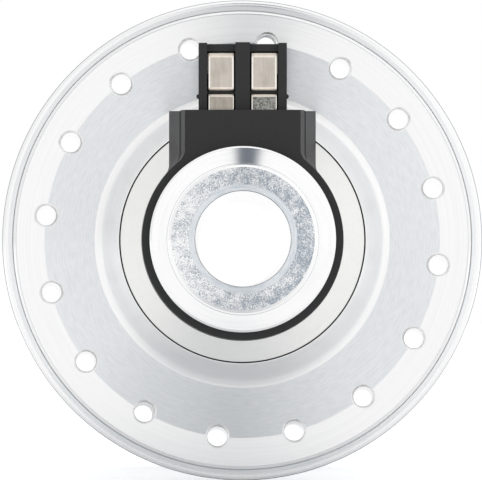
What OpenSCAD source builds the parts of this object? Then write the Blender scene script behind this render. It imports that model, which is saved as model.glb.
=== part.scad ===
// Hub dynamo for the front wheel of a bicycle, with a 12 mm through axle, a six-bolt seat for a
// brake disc and a two-pole connector. The axle runs along Y and the origin is half way along it.
// The connector side, which is the right-hand side of the bicycle, faces -Y. The connector
// points up, along +Z, and +X is the way the bicycle rides.

/* [Axle] */
// Distance between the two end faces of the axle, which is the fork's spacing
over_locknut = 100; // [96:1:115]
// Bore that the fork's through axle passes
axle_bore_d = 12.2; // [10.2:0.1:12.6]
// Outside of the axle under the bearings and the stator
axle_seat_d = 20; // [19.4:0.1:20.6]
// Outside of the axle at both ends
axle_end_d = 19; // [17.5:0.1:19.2]
// Outside of the axle's threads under the clamp rings
axle_thread_d = 19.5; // [19.3:0.1:19.9]
// How far the threads stand out of the clamp rings
thread_proud = 0.2; // [0.1:0.05:0.4]
// How far the bearing seat ends inside the dust covers
seat_relief = 0.4; // [0.2:0.1:0.8]
// Bare axle that stands out of each clamp ring
axle_end_len = 5; // [3:0.5:6]
// Chamfer at the mouths of the axle's bore
axle_bore_chamfer = 0.22; // [0.1:0.02:0.4]
// Chamfer round the axle's end faces
axle_end_chamfer = 0.35; // [0.1:0.05:0.6]
// Width of the slot that leads the wires under the right bearing
wire_slot_w = 4.2; // [3.4:0.1:5]
// Depth of that slot below the bearing seat
wire_slot_depth = 2; // [1.9:0.05:2.4]

/* [Clamp rings] */
// Outside of the two clamp rings
ring_d = 23.9; // [22:0.1:24]
// Thickness of the right ring in front of the connector housing
right_ring_t = 2; // [1.5:0.1:3]
// Length of the right ring's threaded neck inside the housing
ring_neck_len = 3; // [2:0.1:4]
// Wall of that neck
ring_neck_wall = 1.3; // [1:0.1:1.6]
// Thickness of the left ring
left_ring_t = 3; // [2:0.1:4]
// How far the rings' outer faces fall from the thread to the edge
ring_fall = 0.15; // [0.05:0.05:0.4]
// Chamfer on the rings' outer edges
ring_chamfer = 0.25; // [0.1:0.05:0.5]

/* [Bearings] */
// Outside of the two ball bearings
bearing_d = 32; // [31:0.5:34]
// Width of a bearing
bearing_w = 7; // [6:0.5:8]
// Smallest ball, to which a share of the bearing's section is added
ball_base_d = 1.1; // [0.9:0.05:1.3]
// Share of the bearing's section, from the axle's seat to its outside, that is added to a ball
ball_share = 0.4; // [0.3:0.01:0.45]
// Number of balls in a bearing
ball_count = 12; // [9:1:14]
// Height of the race shoulders over the bottom of the groove
race_shoulder = 0.45; // [0.3:0.05:0.6]
// Gap between a ball and the race grooves
ball_gap = 0.03; // [0.01:0.01:0.06]
// Gap between a ball and its pocket in the cage
cage_gap = 0.1; // [0.05:0.01:0.15]
// Radial thickness of the cage
cage_t = 1.2; // [0.8:0.1:1.6]
// Width of the cage along the axle
cage_w = 4.9; // [4.5:0.1:5.2]
// Thickness of a seal
seal_t = 0.5; // [0.3:0.05:0.6]
// How far a seal lies inside the bearing's face
seal_inset = 0.2; // [0.1:0.05:0.3]
// Gap between the seals' lips and the inner ring
seal_gap = 0.1; // [0.05:0.01:0.2]

/* [Right flange and boss] */
// Diameter of the right flange's spoke circle
right_spoke_circle_d = 52; // [51:0.5:60]
// Flat face outside the spoke circle, up to the edge
face_margin = 4.1; // [3:0.1:6]
// Width of the lower land round the face
rim_land = 1.5; // [1.1:0.1:2.5]
// How far that land lies behind the face
rim_step = 1; // [0.6:0.1:1.4]
// Radius of the cove between the face's edge and the land
rim_cove_r = 0.6; // [0.3:0.1:0.9]
// Chamfer on the edge of the face
face_chamfer = 0.34; // [0.1:0.02:0.38]
// Chamfer on the flanges' outer edges
rim_chamfer = 0.4; // [0.1:0.05:0.6]
// Thickness of both flanges at the spoke holes
flange_t = 3; // [2.4:0.1:4]
// Number of spoke holes in each flange
spoke_count = 16; // [12:1:20]
// Diameter of a spoke hole
spoke_hole_d = 2.6; // [2.3:0.1:3]
// Countersink round the spoke holes
spoke_chamfer = 0.25; // [0.1:0.05:0.5]
// Angle of the first spoke hole on both flanges, whose holes stand behind one another
spoke_first_angle = 15.3; // [0:0.1:22.5]
// Rise of the face between the spoke circle and the boss
cone_rise = 0.5; // [0.1:0.1:1]
// Height of the boss over the flat face
boss_h = 4.4; // [3.6:0.1:5.4]
// Wall of the boss at its mouth
boss_lip = 0.35; // [0.2:0.05:0.8]
// How much wider the boss is at its foot than at its mouth
boss_flare = 1.95; // [1.4:0.05:2.6]
// How far the side of the boss bulges
boss_bulge_h = 0.07; // [0.02:0.01:0.15]
// Rounding at the mouth of the boss
boss_edge_r = 0.5; // [0.2:0.05:0.6]
// Rounding at the foot of the boss
boss_foot_r = 1.3; // [0.6:0.1:2]
// Radial relief of the boss's mouth in front of the bearing
mouth_relief = 0.05; // [0.02:0.01:0.1]
// How far the boss stands in front of the bearing
boss_mouth_depth = 1.1; // [0.9:0.05:1.5]
// Gap between the dust covers and the parts that turn round them
cover_gap = 0.18; // [0.1:0.02:0.3]
// Thickness of the shoulder behind the right bearing
shoulder_t = 2; // [1.5:0.1:3]
// Height of the bearing shoulders
shoulder_h = 1.4; // [1:0.1:1.6]

/* [Shell] */
// Room for the spoke heads between the right spoke circle and the barrel
spoke_head_room = 2.5; // [2.2:0.1:3]
// Wall of the barrel
barrel_wall = 2; // [1.6:0.1:2.4]
// Length of barrel on the right flange, up to the seam
stub_len = 3.5; // [2.5:0.1:5]
// Length of the right flange's skirt inside the barrel
skirt_len = 5.5; // [5:0.1:7]
// Wall of that skirt
skirt_wall = 2.4; // [2:0.1:3]
// Chamfers that mark the seam
seam_chamfer = 0.25; // [0.1:0.05:0.5]
// Rounding between the barrel and the flanges
barrel_fillet_r = 1.2; // [0.6:0.1:1.6]
// Thickness of the O-ring in the seam
o_ring_t = 1.3; // [1:0.1:1.6]
// Gap round the O-ring in its groove
o_ring_gap = 0.03; // [0.01:0.01:0.06]
// Solid web between the barrel's bore and the left flange
web_t = 5; // [3:0.5:7]
// Radial room between the left bearing's seat and the hollow beside it
hollow_step = 1; // [0.5:0.1:1.4]

/* [Brake disc seat] */
// Distance from the left end face of the axle to the disc's seat
disc_offset = 10.5; // [9.5:0.1:11.2]
// Diameter of the disc's bolt circle
disc_circle_d = 44; // [43:0.5:48]
// Core diameter of the threaded holes for the disc bolts
disc_hole_d = 4.2; // [4:0.1:5.2]
// Depth of those holes
disc_hole_depth = 11; // [8:0.5:13]
// Number of disc bolts
disc_bolt_count = 6; // [4:1:6]
// Countersink round the threaded holes
disc_hole_chamfer = 0.5; // [0.2:0.1:0.8]
// Wall between the bolt circle and the outside of the boss
disc_boss_wall = 3.3; // [3.1:0.1:4.6]
// Length of the boss between the left flange and the disc's seat
disc_boss_len = 14; // [12:0.5:16]
// Chamfer on the boss's edge
disc_boss_chamfer = 0.5; // [0.2:0.1:1]
// Radius of the scallops between the bolts
scallop_r = 6.5; // [5:0.5:8]
// Depth of the scallops
scallop_depth = 3.2; // [2:0.1:3.6]
// Boss left whole beside the flange
scallop_foot = 2.5; // [1.5:0.1:4]
// Diameter of the spigot that centres the disc
disc_spigot_d = 34.9; // [34.5:0.1:36]
// Chamfer on the spigot
spigot_chamfer = 0.4; // [0.2:0.1:0.6]
// Thickness of the lip that holds the left bearing
lip_t = 1.2; // [0.8:0.1:1.4]
// Room for the spoke heads between the boss and the left spoke circle
left_head_room = 2.4; // [2.3:0.1:4]
// Flange outside the left spoke circle
left_margin = 3.3; // [3:0.1:6]

/* [Dust covers] */
// Thickness of the right cover at its seat
right_cover_t = 1.7; // [1.5:0.1:2]
// Slope of the right cover's face
right_cover_fall = 0.75; // [0.4:0.05:0.9]
// Thickness of the left cover
left_cover_t = 1.7; // [1.5:0.1:2.2]
// Room between a cover and the turning bearing ring
cover_room = 0.45; // [0.3:0.05:0.6]

/* [Generator] */
// Wall of the steel ring behind the magnets
rotor_wall = 1.4; // [1:0.1:1.8]
// Thickness of a magnet
magnet_t = 2.1; // [1.6:0.1:2.4]
// Number of magnets
magnet_count = 28; // [20:2:32]
// Angle left between two magnets
magnet_space = 0.8; // [0.4:0.1:2]
// How far the magnets end short of the rotor ring
magnet_inset = 0.5; // [0.2:0.1:1.5]
// Air gap between the magnets and the claws
air_gap = 0.4; // [0.3:0.05:0.6]
// Thickness of a claw
claw_t = 2; // [1.5:0.1:2.4]
// Angle that a claw takes up
claw_angle = 9.4; // [7:0.1:10.4]
// Thickness of the claw plates
plate_t = 2; // [1.5:0.1:3]
// Distance between a claw's tip and the opposite plate
claw_tip_gap = 2; // [1:0.1:4]
// Wall of the stator's steel core
core_wall = 2; // [1.6:0.1:2.4]
// Wall of the bobbin's tube
bobbin_wall = 0.7; // [0.5:0.05:0.9]
// Thickness of the bobbin's flanges
bobbin_flange_t = 0.9; // [0.6:0.1:1.4]
// Gap between the bobbin and the claws round it
bobbin_gap = 0.2; // [0.1:0.05:0.4]
// How far the winding stays below the bobbin's flanges
winding_inset = 0.3; // [0.1:0.05:0.5]
// How far the rotor ring ends short of the skirt
rotor_end_gap = 0.4; // [0.2:0.1:1]
// How far the stator ends short of the rotor ring
stator_inset = 1; // [0.5:0.1:2]
// Wall of the spacer sleeves beside the stator
spacer_wall = 1.5; // [1.1:0.1:1.6]
// Width of the key that stops the stator from turning
key_w = 4; // [3:0.1:5]
// Length of that key
key_len = 12; // [8:0.5:14]
// Depth of the key in the axle
key_axle_depth = 1.8; // [1.4:0.1:2.2]
// Depth of the key in the stator's core
key_core_depth = 1.2; // [0.8:0.1:1.4]
// Diameter of an insulated lead wire
wire_d = 1.1; // [0.9:0.05:1.2]

/* [Connector] */
// Depth of the connector housing along the axle
housing_depth = 11; // [10:0.5:13]
// Gap between the housing and the axle
housing_gap = 0.1; // [0.05:0.01:0.2]
// Housing wall round the clamp ring's edge, at the front
collar_front_wall = 0.9; // [0.6:0.05:1.1]
// How much the collar widens towards the back
collar_flare = 0.4; // [0.2:0.05:0.6]
// Width of the housing's upper part at the front
neck_w = 15; // [14:0.1:16]
// Width of the housing's upper part at the back
neck_back_w = 19; // [17.5:0.1:20]
// Height of the housing's top edge over the axis
housing_top_z = 16.6; // [16:0.1:18]
// Radius of the curve from the upper part into the collar
neck_fillet_r = 2.4; // [2:0.1:3.4]
// Thickness of the housing's front and back walls round the terminal block
pocket_wall = 1.6; // [1.2:0.1:2]
// Gap between the terminal block and its pocket
block_gap = 0.1; // [0.05:0.01:0.2]
// Height of the pocket's floor over the axis
pocket_floor_z = 14.4; // [13.8:0.1:14.8]
// Width of the terminal block
block_w = 11.4; // [10.6:0.1:12]
// Height of the terminal block's top over the axis
block_top_z = 25.4; // [24:0.1:28]
// Width of the block's outer ribs
side_rib_w = 1.1; // [0.8:0.1:1.4]
// Width of the block's middle rib
mid_rib_w = 1.9; // [1.5:0.1:2.4]
// Thickness of the block's back wall
block_back_t = 2; // [1.4:0.1:2.4]
// Thickness of the block's floor
block_floor_t = 1.1; // [0.8:0.1:1.4]
// Thickness of the roof over the contacts
roof_t = 1.1; // [0.8:0.1:1.6]
// How far the roof stands back from the ribs
roof_setback = 1.2; // [0.9:0.1:1.4]
// Radius of the snap nubs on the block's sides
nub_r = 0.3; // [0.2:0.05:0.4]
// Height of the nubs over the axis
nub_z = 18.5; // [18:0.1:20]
// Thickness of the contact strips
strip_t = 0.4; // [0.3:0.05:0.5]
// Gap beside and over a contact strip
strip_gap = 0.2; // [0.1:0.05:0.3]
// Outer radius of the bends in a strip
strip_bend_r = 0.65; // [0.55:0.05:0.8]
// Distance between the front and back legs of a strip
strip_reach = 4.4; // [3.8:0.1:4.6]
// Height of the front leg's end over the axis
strip_end_z = 19.3; // [19:0.1:21]
// Gap between the front leg's end and the tab below it
tab_gap = 0.6; // [0.3:0.1:1]
// Room between the tab's end and the block's floor
tab_room = 0.2; // [0.1:0.05:0.4]
// Height of the soldering tail's end over the axis
strip_tail_z = 12.6; // [12.2:0.1:13]

/* [Hidden] */
$fn = 96;

// How far a cut runs past the face that it opens
over = 1;

// Places along the axle, from the right end inwards
right_end_y = -over_locknut / 2;
right_ring_y = right_end_y + axle_end_len;
housing_front_y = right_ring_y + right_ring_t;
housing_back_y = housing_front_y + housing_depth;
right_bearing_y = housing_back_y + right_cover_t;
boss_top_y = right_bearing_y - boss_mouth_depth;
right_face_y = boss_top_y + boss_h;
right_back_y = right_face_y + flange_t;
seam_y = right_back_y + stub_len;
skirt_end_y = seam_y + skirt_len;
cover_inside_y = right_bearing_y + bearing_w + shoulder_t;

// Places along the axle, from the left end inwards
left_end_y = over_locknut / 2;
left_ring_y = left_end_y - axle_end_len;
left_cover_y = left_ring_y - left_ring_t;
left_bearing_end_y = left_cover_y - left_cover_t;
left_bearing_y = left_bearing_end_y - bearing_w;
left_mouth_y = left_bearing_end_y + lip_t;
disc_face_y = left_end_y - disc_offset;
left_face_y = disc_face_y - disc_boss_len;
left_flange_y = left_face_y - flange_t;
bore_end_y = left_flange_y - web_t;

// Places of the generator along the axle
rotor_y = skirt_end_y + rotor_end_gap;
stator_y = rotor_y + stator_inset;
stator_end_y = bore_end_y - stator_inset;
stator_mid_y = (stator_y + stator_end_y) / 2;

// Radii, from the axle outwards
bore_r = axle_bore_d / 2;
seat_r = axle_seat_d / 2;
end_r = axle_end_d / 2;
thread_r = axle_thread_d / 2;
ring_r = ring_d / 2;
bearing_r = bearing_d / 2;
ball_d = ball_base_d + ball_share * (bearing_r - seat_r);
ball_r = ball_d / 2;
pitch_r = (seat_r + bearing_r) / 2;
race_r = ball_r + ball_gap;
inner_race_r = pitch_r - ball_r + race_shoulder;
outer_race_r = pitch_r + ball_r - race_shoulder;
shoulder_r = bearing_r - shoulder_h;
core_r = seat_r + core_wall;
right_spoke_r = right_spoke_circle_d / 2;
barrel_r = right_spoke_r - spoke_head_room;
barrel_bore_r = barrel_r - barrel_wall;
rotor_bore_r = barrel_bore_r - rotor_wall;
magnet_bore_r = rotor_bore_r - magnet_t;
claw_r = magnet_bore_r - air_gap;
claw_in_r = claw_r - claw_t;
bobbin_r = claw_in_r - bobbin_gap;
disc_boss_r = disc_circle_d / 2 + disc_boss_wall;
left_spoke_r = disc_boss_r + left_head_room;
left_rim_r = left_spoke_r + left_margin;
face_r = right_spoke_r + face_margin;
right_rim_r = face_r + rim_land;
mouth_r = bearing_r + mouth_relief;
boss_top_r = mouth_r + boss_lip + boss_edge_r;
boss_foot_in_r = mouth_r + boss_lip + boss_flare;

// The connector's places
block_y = housing_front_y + pocket_wall + block_gap;
block_end_y = housing_back_y - pocket_wall - block_gap;
strip_y = block_end_y - block_back_t;
window_w = (block_w - 2 * side_rib_w - mid_rib_w) / 2;
window_x = (mid_rib_w + window_w) / 2;
strip_w = window_w - 2 * strip_gap;
roof_z = block_top_z - roof_t;
strip_top_z = roof_z - strip_gap;
tail_room = 1.2;
curve_overlap = 0.08;

// The lead wires' places: beside a contact's tail, in the axle's slot and at the coil's end
wire_notch_w = 3.6;
wire_notch_z = core_r + 2.2;
wire_notch_len = 5;
wire_slot_run = 5.6;
wire_slot_y = housing_back_y - wire_slot_run;
wire_slot_end_y = stator_y;
solder_gap = 0.05;
lead_gap = 0.1;
lead_space = 0.35;
tail_y = strip_y - strip_t - wire_d / 2 - solder_gap;
rise_y = stator_y - wire_notch_len - 0.9;
lead_x = wire_d / 2 + lead_space;
slot_z = seat_r - wire_slot_depth + wire_d / 2 + lead_gap;
coil_z = core_r + 1.2;

// Points that the front lead wire follows, from the contact's tail to the coil
wire_route = [
    [window_x, tail_y, strip_tail_z + 0.8],
    [window_x - 0.1, tail_y, strip_tail_z - 0.4],
    [lead_x + 1.3, tail_y + 0.1, slot_z + 2.15],
    [lead_x + 0.6, tail_y + 0.6, slot_z + 0.85],
    [lead_x + 0.1, tail_y + 1.7, slot_z + 0.1],
    [lead_x, tail_y + 3.3, slot_z],
    [lead_x, (tail_y + rise_y) / 2, slot_z],
    [lead_x, rise_y, slot_z],
    [lead_x, rise_y + 1.5, slot_z + 0.45],
    [lead_x, rise_y + 2.5, slot_z + 1.65],
    [lead_x, rise_y + 3.3, coil_z - 1.4],
    [lead_x, rise_y + 4.3, coil_z - 0.3],
    [lead_x, rise_y + 5.5, coil_z],
    [lead_x, stator_y + plate_t, coil_z]
];
wire_sides = 8;

// Colours
aluminium = "#D9DCDF";
polished = "#ECEDEE";
zinc = "#B4BCC4";
black_plastic = "#363636";
nickel = "#C8C0B4";
steel = "#9AA0A6";
copper = "#B8693A";
rubber = "#1E1E1E";

// Turns a profile, drawn as radius and place along the axle, about the axle.
module turned() {
    rotate([-90, 0, 0])
        rotate_extrude()
            children();
}

// A ring about the axle between two radii and two places.
module ring(in_r, out_r, y0, y1) {
    turned()
        translate([in_r, y0])
            square([out_r - in_r, y1 - y0]);
}

// Places a child at an angle about the axle, counted from +X towards +Z.
module at(angle, radius) {
    rotate([0, -angle, 0])
        translate([radius, 0, 0])
            children();
}

// Repeats a child evenly about the axle.
module around(count, radius, first = 0) {
    for (i = [0 : count - 1])
        at(first + i * 360 / count, radius)
            children();
}

// A drill along the axle's direction between two places.
module drill(d, y0, y1) {
    translate([0, y0, 0])
        rotate([-90, 0, 0])
            cylinder(d = d, h = y1 - y0);
}

// A countersink whose mouth is at y, cut in the direction dir along the axle.
module countersink(d, depth, y, dir) {
    translate([0, y, 0])
        rotate([-90 * dir, 0, 0])
            translate([0, 0, -depth])
                cylinder(r1 = d / 2 + 2 * depth, r2 = d / 2, h = 2 * depth);
}

// A hole along the axle with a countersink at both ends.
module countersunk_hole(d, depth, y0, y1) {
    drill(d, y0 - over, y1 + over);
    countersink(d, depth, y0, 1);
    countersink(d, depth, y1, -1);
}

// The direction from one point to another.
function unit(a, b) = (b - a) / norm(b - a);

// How far a rounding of radius r at corner c reaches along the edges to a and b.
function tangent(a, c, b, r) = r / tan(acos(unit(c, a) * unit(c, b)) / 2);

// The centre of that rounding.
function round_centre(a, c, b, r) =
    c + unit([0, 0], unit(c, a) + unit(c, b)) * norm([r, tangent(a, c, b, r)]);

// What lies between a corner and the rounding of radius r inside it, with the tip moved by grow.
module corner_piece(a, c, b, r, grow) {
    reach = tangent(a, c, b, r);
    tip = c - unit([0, 0], unit(c, a) + unit(c, b)) * grow;
    difference() {
        polygon([tip, c + unit(c, a) * reach, c + unit(c, b) * reach]);
        translate(round_centre(a, c, b, r))
            circle(r);
    }
}

// The slice between the chord from a to b and an arc that rises by sag on its right-hand side.
module bulge(a, b, sag) {
    half = norm(b - a) / 2;
    arc_r = (half * half + sag * sag) / (2 * sag);
    across = [unit(a, b)[1], -unit(a, b)[0]];
    intersection() {
        translate((a + b) / 2 - across * (arc_r - sag))
            circle(arc_r, $fn = 360);
        polygon([a, b, b + across * 2 * sag, a + across * 2 * sag]);
    }
}

// Hollow axle with a seat for bearings and stator, a wire slot on top and a keyway below.
module axle() {
    seat_y0 = housing_back_y + seat_relief;
    seat_y1 = left_cover_y - seat_relief;
    color(zinc)
        difference() {
            turned()
                polygon([
                    [bore_r + axle_bore_chamfer, right_end_y],
                    [end_r - axle_end_chamfer, right_end_y],
                    [end_r, right_end_y + axle_end_chamfer],
                    [end_r, right_ring_y - thread_proud],
                    [thread_r, right_ring_y - thread_proud],
                    [thread_r, seat_y0],
                    [seat_r, seat_y0],
                    [seat_r, seat_y1],
                    [thread_r, seat_y1],
                    [thread_r, left_ring_y + thread_proud],
                    [end_r, left_ring_y + thread_proud],
                    [end_r, left_end_y - axle_end_chamfer],
                    [end_r - axle_end_chamfer, left_end_y],
                    [bore_r + axle_bore_chamfer, left_end_y],
                    [bore_r, left_end_y - axle_bore_chamfer],
                    [bore_r, right_end_y + axle_bore_chamfer]
                ]);
            translate([-wire_slot_w / 2, wire_slot_y, seat_r - wire_slot_depth])
                cube([wire_slot_w, wire_slot_end_y - wire_slot_y, wire_slot_depth + over]);
            translate([-key_w / 2, stator_mid_y - key_len / 2, -seat_r - over])
                cube([key_w, key_len, key_axle_depth + over]);
        }
}

// Polished ring that clamps the connector housing on the axle.
module right_clamp_ring() {
    neck_y = housing_front_y + ring_neck_len;
    neck_r = thread_r + ring_neck_wall;
    color(polished)
        turned()
            polygon([
                [thread_r, right_ring_y],
                [ring_r - ring_chamfer, right_ring_y + ring_fall],
                [ring_r, right_ring_y + ring_fall + ring_chamfer],
                [ring_r, housing_front_y],
                [neck_r, housing_front_y],
                [neck_r, neck_y],
                [thread_r, neck_y]
            ]);
}

// Ring that clamps the left bearing and its cover on the axle.
module left_clamp_ring() {
    color(polished)
        turned()
            polygon([
                [thread_r, left_cover_y],
                [ring_r, left_cover_y],
                [ring_r, left_ring_y - ring_fall - ring_chamfer],
                [ring_r - ring_chamfer, left_ring_y - ring_fall],
                [thread_r, left_ring_y]
            ]);
}

// Outline of the curve from the housing's upper part into its collar, on the +X side.
module neck_curve() {
    side = neck_w / 2 - curve_overlap;
    collar_r = ring_r + collar_front_wall - curve_overlap;
    centre_x = side + neck_fillet_r;
    centre_z = sqrt(pow(collar_r + neck_fillet_r, 2) - centre_x * centre_x);
    touch = [centre_x, centre_z] * collar_r / (collar_r + neck_fillet_r);
    difference() {
        polygon([[0, 0], [side, centre_z], touch]);
        translate([centre_x, centre_z])
            circle(neck_fillet_r);
    }
}

// Extrudes an outline drawn in X and Z along the axle.
module along_axle(y0, y1) {
    translate([0, y1, 0])
        rotate([90, 0, 0])
            linear_extrude(y1 - y0)
                children();
}

// Moulded housing: a collar round the axle and an upper part that holds the terminal block.
module connector_housing() {
    front_r = ring_r + collar_front_wall;
    neck_y = housing_front_y + ring_neck_len;
    neck_r = thread_r + ring_neck_wall + housing_gap;
    pocket_y = block_y - block_gap;
    pocket_w = block_w + 2 * block_gap;
    tail_w = 2 * (window_x + strip_w / 2 + strip_gap);
    color(black_plastic)
        difference() {
            union() {
                turned()
                    polygon([
                        [0, housing_front_y],
                        [front_r, housing_front_y],
                        [front_r + collar_flare, housing_back_y],
                        [0, housing_back_y]
                    ]);
                linear_extrude(housing_top_z)
                    polygon([
                        [-neck_w / 2, housing_front_y],
                        [neck_w / 2, housing_front_y],
                        [neck_back_w / 2, housing_back_y],
                        [-neck_back_w / 2, housing_back_y]
                    ]);
                along_axle(housing_front_y, housing_back_y) {
                    neck_curve();
                    mirror([1, 0])
                        neck_curve();
                }
            }
            drill(2 * (thread_r + housing_gap), housing_front_y - over, housing_back_y + over);
            drill(2 * neck_r, housing_front_y - over, neck_y);
            translate([-pocket_w / 2, pocket_y, pocket_floor_z])
                cube([pocket_w, block_end_y + block_gap - pocket_y, housing_top_z]);
            translate([-tail_w / 2, strip_y - strip_t - wire_d - tail_room, 0])
                cube([tail_w, strip_t + wire_d + 2 * tail_room, pocket_floor_z + over]);
        }
}

// One snap nub on the side of the terminal block.
module nub() {
    translate([block_w / 2, (block_y + block_end_y) / 2, nub_z])
        sphere(nub_r);
}

// Moulded block whose ribs and roof shield the two contacts.
module terminal_block() {
    color(black_plastic)
        difference() {
            union() {
                translate([-block_w / 2, block_y, pocket_floor_z])
                    cube([block_w, block_end_y - block_y, block_top_z - pocket_floor_z]);
                nub();
                mirror([1, 0, 0])
                    nub();
            }
            for (side = [-1, 1])
                translate([side * window_x - window_w / 2, 0, 0]) {
                    translate([0, block_y - over, pocket_floor_z + block_floor_t])
                        cube([window_w, strip_y - block_y + over, roof_z - pocket_floor_z - block_floor_t]);
                    translate([0, block_y - over, roof_z - over])
                        cube([window_w, roof_setback + over, roof_t + 2 * over]);
                    translate([strip_gap, strip_y - strip_t, pocket_floor_z - over])
                        cube([strip_w, strip_t, block_floor_t + 2 * over]);
                }
        }
}

// A quarter bend of a contact strip about a centre, in the quarter turned by angle.
module strip_bend(centre, angle) {
    translate(centre)
        rotate(angle)
            intersection() {
                difference() {
                    circle(strip_bend_r);
                    circle(strip_bend_r - strip_t);
                }
                square(strip_bend_r);
            }
}

// Side view of a contact strip: a tail, a back leg, a flat top, a front leg with a curled end and,
// below that, a tab that is bent out of the back leg.
module strip_outline() {
    back_y = strip_y;
    front_y = strip_y - strip_reach - strip_t;
    bend_z = strip_top_z - strip_bend_r;
    curl_z = strip_end_z + strip_bend_r;
    tab_z = strip_end_z - tab_gap;
    tab_end_z = pocket_floor_z + block_floor_t + tab_room;
    translate([back_y - strip_t, strip_tail_z])
        square([strip_t, bend_z - strip_tail_z]);
    strip_bend([back_y - strip_bend_r, bend_z], 0);
    translate([front_y + strip_bend_r, strip_top_z - strip_t])
        square([back_y - front_y - 2 * strip_bend_r, strip_t]);
    strip_bend([front_y + strip_bend_r, bend_z], 90);
    translate([front_y, curl_z])
        square([strip_t, bend_z - curl_z]);
    strip_bend([front_y + strip_bend_r, curl_z], 180);
    translate([front_y + strip_bend_r, tab_z - strip_t])
        square([back_y - front_y - strip_bend_r, strip_t]);
    strip_bend([front_y + strip_bend_r, tab_z - strip_bend_r], 90);
    translate([front_y, tab_end_z])
        square([strip_t, tab_z - strip_bend_r - tab_end_z]);
}

// One contact strip, centred on x.
module contact_strip(x) {
    color(nickel)
        translate([x - strip_w / 2, 0, 0])
            rotate([90, 0, 90])
                linear_extrude(strip_w)
                    strip_outline();
}

// Contact on the side that rides first.
module front_contact() {
    contact_strip(window_x);
}

// Contact on the other side.
module rear_contact() {
    contact_strip(-window_x);
}

// Rings of points round a route, each square to the route's direction there.
function route_direction(route, i) =
    unit(route[max(i - 1, 0)], route[min(i + 1, len(route) - 1)]);
function route_ring(route, i, r) =
    let (
        along = route_direction(route, i),
        side = unit([0, 0, 0], cross(along, [1, 0, 0.2])),
        up = cross(side, along)
    )
    [for (k = [0 : wire_sides - 1])
        let (turn = k * 360 / wire_sides)
        route[i] + r * (cos(turn) * side + sin(turn) * up)];

// A round wire swept along a route.
module swept_wire(route, r) {
    rings = len(route);
    points = [for (i = [0 : rings - 1]) each route_ring(route, i, r)];
    walls = [for (i = [0 : rings - 2], k = [0 : wire_sides - 1], half = [0, 1])
        let (
            near = i * wire_sides,
            next = (k + 1) % wire_sides,
            far = near + wire_sides
        )
        half == 0 ? [near + k, near + next, far + next] : [near + k, far + next, far + k]];
    start = [[for (k = [wire_sides - 1 : -1 : 0]) k]];
    end = [[for (k = [0 : wire_sides - 1]) (rings - 1) * wire_sides + k]];
    polyhedron(points, concat(walls, start, end));
}

// Lead from the coil to the front contact.
module front_lead_wire() {
    color("#A83A2E")
        swept_wire(wire_route, wire_d / 2);
}

// Lead from the coil to the rear contact.
module rear_lead_wire() {
    color("#2B2B2B")
        swept_wire([for (p = wire_route) [-p[0], p[1], p[2]]], wire_d / 2);
}

// Fixed cover that closes the mouth of the right boss.
module right_dust_cover() {
    rim_r = mouth_r - cover_gap;
    collar_r = ring_r + collar_front_wall + collar_flare;
    color(aluminium)
        turned()
            polygon([
                [seat_r, housing_back_y],
                [collar_r, housing_back_y],
                [rim_r, housing_back_y + right_cover_fall],
                [rim_r, right_bearing_y - cover_room],
                [inner_race_r, right_bearing_y - cover_room],
                [inner_race_r, right_bearing_y],
                [seat_r, right_bearing_y]
            ]);
}

// Fixed cover that closes the mouth on the brake side.
module left_dust_cover() {
    rim_r = shoulder_r - cover_gap;
    color(aluminium)
        turned()
            polygon([
                [seat_r, left_bearing_end_y],
                [inner_race_r, left_bearing_end_y],
                [inner_race_r, left_bearing_end_y + cover_room],
                [rim_r, left_bearing_end_y + cover_room],
                [rim_r, left_cover_y],
                [seat_r, left_cover_y]
            ]);
}

// Sleeve between the right bearing and the stator, with a notch for the wires.
module right_spacer() {
    color(steel)
        difference() {
            ring(seat_r, seat_r + spacer_wall, right_bearing_y + bearing_w, stator_y);
            translate([-wire_notch_w / 2, stator_y - wire_notch_len, 0])
                cube([wire_notch_w, wire_notch_len + over, wire_notch_z]);
        }
}

// Sleeve between the stator and the left bearing.
module left_spacer() {
    color(steel)
        ring(seat_r, seat_r + spacer_wall, stator_end_y, left_bearing_y);
}

// Steel sleeve that carries the coil and joins the two claw plates.
module stator_core() {
    color(steel)
        difference() {
            ring(seat_r, core_r, stator_y + plate_t, stator_end_y - plate_t);
            translate([-key_w / 2, stator_mid_y - key_len / 2, -seat_r - key_core_depth])
                cube([key_w, key_len, seat_r]);
        }
}

// Key between the axle and the stator's core.
module stator_key() {
    color(zinc)
        translate([-key_w / 2, stator_mid_y - key_len / 2, -seat_r - key_core_depth])
            cube([key_w, key_len, key_core_depth + key_axle_depth]);
}

// Claw plate whose claws run from plate_y towards tip_y.
module claw_plate(plate_y, tip_y, first) {
    dir = sign(tip_y - plate_y);
    foot = claw_t / 2;
    ring(seat_r, claw_in_r, min(plate_y, plate_y + dir * plate_t), max(plate_y, plate_y + dir * plate_t));
    for (i = [0 : magnet_count / 2 - 1])
        rotate([0, first + i * 720 / magnet_count, 0])
            rotate([-90, 0, 0])
                rotate_extrude(angle = claw_angle)
                    polygon([
                        [claw_in_r - foot, plate_y],
                        [claw_r, plate_y],
                        [claw_r, tip_y],
                        [claw_in_r, tip_y],
                        [claw_in_r, plate_y + dir * plate_t],
                        [claw_in_r - foot, plate_y + dir * plate_t]
                    ]);
}

// Right claw plate, with an opening for the wires.
module right_claw_plate() {
    color(steel)
        difference() {
            claw_plate(stator_y, stator_end_y - plate_t - claw_tip_gap, 0);
            translate([-wire_notch_w / 2, stator_y - over, core_r])
                cube([wire_notch_w, plate_t + 2 * over, wire_notch_z - core_r]);
        }
}

// Left claw plate, whose claws stand between those of the right one.
module left_claw_plate() {
    color(steel)
        claw_plate(stator_end_y, stator_y + plate_t + claw_tip_gap, 360 / magnet_count);
}

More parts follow.
